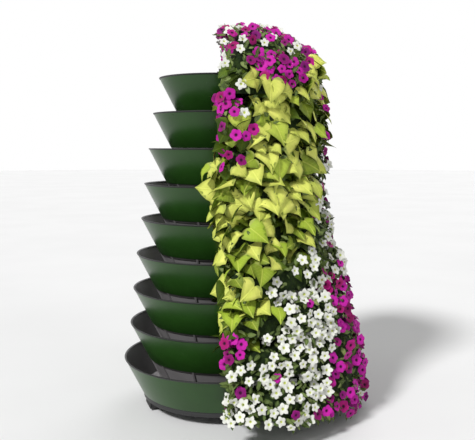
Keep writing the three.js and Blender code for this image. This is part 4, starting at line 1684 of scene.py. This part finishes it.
def undergrowth_outline(foliage, angle):
    """Section of the dark mass that fills the foliage: beside the shell above, out to the leaves, back
    under them to the tier's own shell, up its face, over its rim and down to the potting mix."""
    sizes = settings().foliage
    shell = settings().shell
    tier = foliage.tier
    gap = sizes.shell_gap
    inset = sizes.under_inset
    rim = foliage.rim
    mix = rim - sizes.mix_freeboard + gap / 2
    outer = foliage.outer_at(angle)
    hem = foliage.hem_at(angle) + inset / 2
    crown = rim + CROWN_ABOVE_RIM - inset * CROWN_INSETS
    if tier == TOP_TIER:
        inner = mast_radius() + gap
        over = [(inner, mix)]
        for radius_share, height_share in zip(MOUND_RADIUS_SHARES, MOUND_HEIGHT_SHARES):
            radius = max(inner, outer * radius_share - inset * radius_share)
            under = inset * (MOUND_INSETS - radius_share)
            over.append((radius, rim + foliage.height * height_share - under))
    else:
        top = rim + INNER_TOP_ABOVE_RIM - inset
        over = [(shell_radius(tier + 1, mix) + gap, mix), (shell_radius(tier + 1, top) + gap, top),
                (outer - SHOULDER - inset, crown), (outer - inset, crown - SHOULDER)]
    bottom = max(hem, BOX["planting_1"][0].z) + gap
    if tier > 1:
        bottom = rim_level(tier - 1) + INNER_TOP_ABOVE_RIM + gap
    under_bead = rim - shell.bead_height - gap
    bead = shell.bead_reach + gap
    return over + [
        (outer - inset, hem),
        (shell_radius(tier, bottom) + gap, bottom),
        (shell_radius(tier, under_bead) + bead, under_bead),
        (rim_radius(tier) + bead, rim + gap),
        (rim_radius(tier) - shell.wall - bead, rim + gap),
        (shell_radius(tier, mix) - shell.wall - bead, mix),
    ]


def build_undergrowth():
    sizes = settings().foliage
    # Painted shade: the undergrowth is a near-black sheet that stands for the shade between the leaves
    gloom = painted_shade_undergrowth("shaded_undergrowth", sizes.gloom, sizes.deep_green)
    for tier in TIERS:
        foliage = Foliage(tier)
        counts = None
        rings = []
        for angle in np.linspace(CUT_ANGLE, FRONT_TO_BACK - CUT_ANGLE, UNDERGROWTH_SECTIONS):
            outline, counts = divided(undergrowth_outline(foliage, angle), UNDERGROWTH_SPACING, counts)
            outer_end = sum(counts[:len(foliage.drape(SIDE)) + 1])
            ring = []
            for i, (radius, level) in enumerate(outline):
                place = around(radius, angle, level)
                if counts[0] < i < outer_end:
                    lump = noise.noise(place * LUMP_SCALE) * LUMP_SIZE
                    place += around(lump, angle, lump * LUMP_RISE)
                place.x += cut_inset(level) * (1 - ramp(fold(angle), CUT_ANGLE, CUT_FADE))
                ring.append(place)
            rings.append(ring)
        make_piece(f"undergrowth_{tier}", lofted(rings), body_of_tier(tier),
                   [f"planting_{tier}"], [gloom], crease=SOFT_CREASE)


def mix_height_share(angle):
    """How full a pocket is at an angle: the potting mix slumps where the planted half ends."""
    return interpolated(min(angle, FRONT_TO_BACK - angle), SLUMP_TURNS, SLUMP_SHARES)


def bark_chip(place, turn, size):
    """A splinter of bark with a worn edge."""
    chip = rounded_bar(size, size * CHIP_WIDTH, size * CHIP_THICKNESS, size * CHIP_EDGE, 2)
    return moved(chip, Matrix.Translation(place) @ turn)


def mix_inside(tier, level):
    """Radius of the potting mix beside the collar that stands in its tier, or beside the mast."""
    gap = settings().foliage.shell_gap * MIX_INNER_GAPS
    if tier == TOP_TIER:
        return mast_radius() + gap
    return collar_radius(tier, level) + settings().collar.rib_depth + gap


def mix_outside(tier, level):
    return shell_radius(tier, level) - settings().shell.wall - MIX_SHELL_GAP


def mix_level(tier, angle):
    low, high = BOX[f"potting_mix_{tier}"]
    return low.z + (high.z - low.z) * mix_height_share(angle)


def mix_shape(tier):
    """The half ring of potting mix with a crumbly top that slumps at both ends."""
    bottom = BOX[f"potting_mix_{tier}"][0].z
    rings = []
    counts = None
    for angle in np.linspace(0, FRONT_TO_BACK, MIX_SECTIONS):
        top = mix_level(tier, angle) - MIX_HEADROOM
        outline = [(mix_outside(tier, bottom), bottom), (mix_outside(tier, top), top),
                   (mix_inside(tier, top), top), (mix_inside(tier, bottom), bottom)]
        outline, counts = divided(outline, MIX_SPACING, counts)
        ring = []
        for i, (radius, level) in enumerate(outline):
            place = around(radius, angle, level)
            if counts[0] < i < counts[0] + counts[1]:
                crumb = noise.noise(place * CRUMB_SCALE) * CRUMB_SIZE
                place.z += crumb + noise.noise(place * HEAP_SCALE) * HEAP_SIZE
            ring.append(place)
        rings.append(ring)
    return lofted(rings)


def bark_on_mix(tier):
    """Chips of bark on the open mix where the planted half ends, at the front and the back."""
    generator = np.random.default_rng(CHIP_SEED + tier)
    chips = []
    for _ in range(CHIPS):
        angle = abs(generator.choice([0, FRONT_TO_BACK]) + generator.uniform(-CHIP_SPREAD, CHIP_SPREAD))
        if angle > FRONT_TO_BACK:
            angle = 2 * FRONT_TO_BACK - angle
        top = mix_level(tier, angle)
        radius = generator.uniform(mix_inside(tier, top) + CHIP_MARGIN, mix_outside(tier, top) - CHIP_MARGIN)
        turn = Matrix.Rotation(generator.uniform(0, CHIP_TURN), 4, "Z")
        lean = Matrix.Rotation(generator.normal(0, CHIP_LEAN), 4, "X")
        place = around(radius, angle, top - CHIP_SUNK)
        chips.append(bark_chip(place, turn @ lean, generator.uniform(*CHIP_SIZES)))
    return merged(chips)


def build_mix():
    sizes = settings().foliage
    soil = crumbly_mix("potting_mix", sizes.soil)
    bark = crumbly_mix("bark", scaled(sizes.soil, 2.2))
    for tier in TIERS:
        body = body_of_tier(tier)
        nodes = [f"potting_mix_{tier}"]
        make_piece(f"mix_{tier}", mix_shape(tier), body, nodes, [soil], crease=MIX_CREASE)
        make_piece(f"bark_{tier}", bark_on_mix(tier), body, nodes, [bark])


# Stage

FLOOR_THICKNESS = 0.02
SENSOR_WIDTH = 36
KEY_PLACE = (-3.4, -4.4, 5.0)
FILL_PLACE = (4.2, -3.2, 2.2)
BACK_PLACE = (1.5, 4.5, 3.6)


def hang_sun(name, strength, size, place):
    """A soft light that shines from a place toward the tower's foot."""
    lamp = bpy.data.lights.new(name, "SUN")
    lamp.energy = strength
    lamp.angle = size
    light = bpy.data.objects.new(name, lamp)
    light.location = place
    light.rotation_euler = (-Vector(place)).to_track_quat("-Z", "Y").to_euler()
    bpy.context.scene.collection.objects.link(light)


def set_world():
    """Light from all round, and a pale backdrop for the camera, for gloss and for see-through."""
    sizes = settings().stage
    world = bpy.data.worlds.new("studio")
    bpy.context.scene.world = world
    studio = Graph(world)
    light = studio.node("ShaderNodeBackground", None, {"Strength": sizes.sky})
    backdrop = studio.node("ShaderNodeBackground", None, {"Color": sizes.backdrop})
    rays = studio.outputs_of(studio.node("ShaderNodeLightPath"))
    seen = rays["Is Camera Ray"].larger(rays["Is Glossy Ray"]).larger(rays["Is Transmission Ray"])
    mixed = studio.node("ShaderNodeMixShader", None, {0: seen, 1: light, 2: backdrop})
    studio.node("ShaderNodeOutputWorld", None, {"Surface": mixed})


def lay_floor():
    sizes = settings().stage
    radius = sizes.floor_radius
    outline = [(0, 0), (radius, 0), (radius, -FLOOR_THICKNESS), (0, -FLOOR_THICKNESS)]
    floor = make_object("floor", turned(outline, ROUND_SEGMENTS, closed=False))
    tidy_normals(floor.data)
    paper = Finish("pale_floor")
    cloud = paper.noise(scale=0.8).rise(0.3, 0.7)
    tone = paper.blend(cloud, scaled(sizes.floor, 0.985), scaled(sizes.floor, 1.015))
    floor.data.materials.append(paper.surface(tone, 0.9))


def build_stage():
    sizes = settings().stage
    scene = bpy.context.scene
    scene.view_settings.view_transform = "Standard"
    set_world()
    lay_floor()
    wide = 4 * sizes.sun_size
    hang_sun("key", sizes.sun_strength, sizes.sun_size, KEY_PLACE)
    hang_sun("fill", sizes.fill_strength, wide, FILL_PLACE)
    hang_sun("back", sizes.back_strength, wide, BACK_PLACE)
    lens = bpy.data.cameras.new("camera")
    lens.lens = sizes.lens
    lens.sensor_width = SENSOR_WIDTH
    lens.shift_y = sizes.camera_shift
    camera = bpy.data.objects.new("camera", lens)
    camera.location = (sizes.camera_side, -sizes.camera_distance, sizes.camera_height)
    camera.rotation_euler = (math.pi / 2 - sizes.camera_pitch, 0, 0)
    scene.collection.objects.link(camera)
    scene.camera = camera


# Operators and panel

class PLANTER_OT_shells(bpy.types.Operator):
    """Build the nine flared shells"""

    bl_idname = "planter.shells"
    bl_label = "Shells"
    bl_options = {"REGISTER", "UNDO"}

    def execute(self, context):
        build_shells()
        return {"FINISHED"}


class PLANTER_OT_floors(bpy.types.Operator):
    """Build the slotted floor discs"""

    bl_idname = "planter.floors"
    bl_label = "Floors"
    bl_options = {"REGISTER", "UNDO"}

    def execute(self, context):
        build_floors()
        return {"FINISHED"}


class PLANTER_OT_collars(bpy.types.Operator):
    """Build the ribbed collars between the shells"""

    bl_idname = "planter.collars"
    bl_label = "Collars"
    bl_options = {"REGISTER", "UNDO"}

    def execute(self, context):
        build_collars()
        return {"FINISHED"}


class PLANTER_OT_base(bpy.types.Operator):
    """Finish the base frame and its caps, and build the foot pads"""

    bl_idname = "planter.base"
    bl_label = "Base frame and pads"
    bl_options = {"REGISTER", "UNDO"}

    def execute(self, context):
        build_base()
        return {"FINISHED"}


class PLANTER_OT_tray(bpy.types.Operator):
    """Build the drip tray and its drain plug"""

    bl_idname = "planter.tray"
    bl_label = "Drip tray and plug"
    bl_options = {"REGISTER", "UNDO"}

    def execute(self, context):
        build_tray()
        return {"FINISHED"}


class PLANTER_OT_mast(bpy.types.Operator):
    """Build the watering mast and its cap"""

    bl_idname = "planter.mast"
    bl_label = "Watering mast and cap"
    bl_options = {"REGISTER", "UNDO"}

    def execute(self, context):
        build_mast()
        build_cap()
        return {"FINISHED"}


class PLANTER_OT_mix(bpy.types.Operator):
    """Fill the planted half of each tier with potting mix and bark"""

    bl_idname = "planter.mix"
    bl_label = "Potting mix"
    bl_options = {"REGISTER", "UNDO"}

    def execute(self, context):
        build_mix()
        return {"FINISHED"}


class PLANTER_OT_undergrowth(bpy.types.Operator):
    """Grow the shaded undergrowth that the leaves stand on"""

    bl_idname = "planter.undergrowth"
    bl_label = "Undergrowth"
    bl_options = {"REGISTER", "UNDO"}

    def execute(self, context):
        build_undergrowth()
        return {"FINISHED"}


class PLANTER_OT_vine_leaves(bpy.types.Operator):
    """Grow the lime leaves of the trailing vine"""

    bl_idname = "planter.vine_leaves"
    bl_label = "Vine leaves"
    bl_options = {"REGISTER", "UNDO"}

    def execute(self, context):
        build_vine_leaves()
        return {"FINISHED"}


class PLANTER_OT_small_leaves(bpy.types.Operator):
    """Grow the small leaves of the petunias"""

    bl_idname = "planter.small_leaves"
    bl_label = "Small leaves"
    bl_options = {"REGISTER", "UNDO"}

    def execute(self, context):
        build_small_leaves()
        return {"FINISHED"}


class PLANTER_OT_white_blooms(bpy.types.Operator):
    """Grow the white petunias"""

    bl_idname = "planter.white_blooms"
    bl_label = "White petunias"
    bl_options = {"REGISTER", "UNDO"}

    def execute(self, context):
        build_white_blooms()
        return {"FINISHED"}


class PLANTER_OT_magenta_blooms(bpy.types.Operator):
    """Grow the magenta petunias"""

    bl_idname = "planter.magenta_blooms"
    bl_label = "Magenta petunias"
    bl_options = {"REGISTER", "UNDO"}

    def execute(self, context):
        build_magenta_blooms()
        return {"FINISHED"}


class PLANTER_OT_stage(bpy.types.Operator):
    """Set up the floor, the lights and the camera"""

    bl_idname = "planter.stage"
    bl_label = "Stage"
    bl_options = {"REGISTER", "UNDO"}

    def execute(self, context):
        build_stage()
        return {"FINISHED"}


OPERATORS = (
    PLANTER_OT_stage, PLANTER_OT_base, PLANTER_OT_tray, PLANTER_OT_mast, PLANTER_OT_shells, PLANTER_OT_floors,
    PLANTER_OT_collars, PLANTER_OT_mix, PLANTER_OT_undergrowth, PLANTER_OT_magenta_blooms,
    PLANTER_OT_white_blooms, PLANTER_OT_vine_leaves, PLANTER_OT_small_leaves,
)


class PLANTER_PT_tower(bpy.types.Panel):
    """Lists the tower's pieces in the order they are built"""

    bl_label = "Vertical planter tower"
    bl_space_type = "VIEW_3D"
    bl_region_type = "UI"
    bl_category = "Planter"

    def draw(self, context):
        for operator in OPERATORS:
            self.layout.operator(operator.bl_idname)


CLASSES = (
    PlanterShellSettings, PlanterCollarSettings, PlanterBaseSettings, PlanterFoliageSettings,
    PlanterFlowerSettings, PlanterStageSettings, PlanterSettings, *OPERATORS, PLANTER_PT_tower,
)


def register():
    for item in CLASSES:
        bpy.utils.register_class(item)
    bpy.types.Scene.planter = PointerProperty(
        name="Planter", description="Sizes and colours of the planter tower", type=PlanterSettings)


def unregister():
    del bpy.types.Scene.planter
    for item in reversed(CLASSES):
        bpy.utils.unregister_class(item)


def main():
    register()
    for operator in OPERATORS:
        group, name = operator.bl_idname.split(".")
        getattr(getattr(bpy.ops, group), name)()


if __name__ == "__main__":
    main()
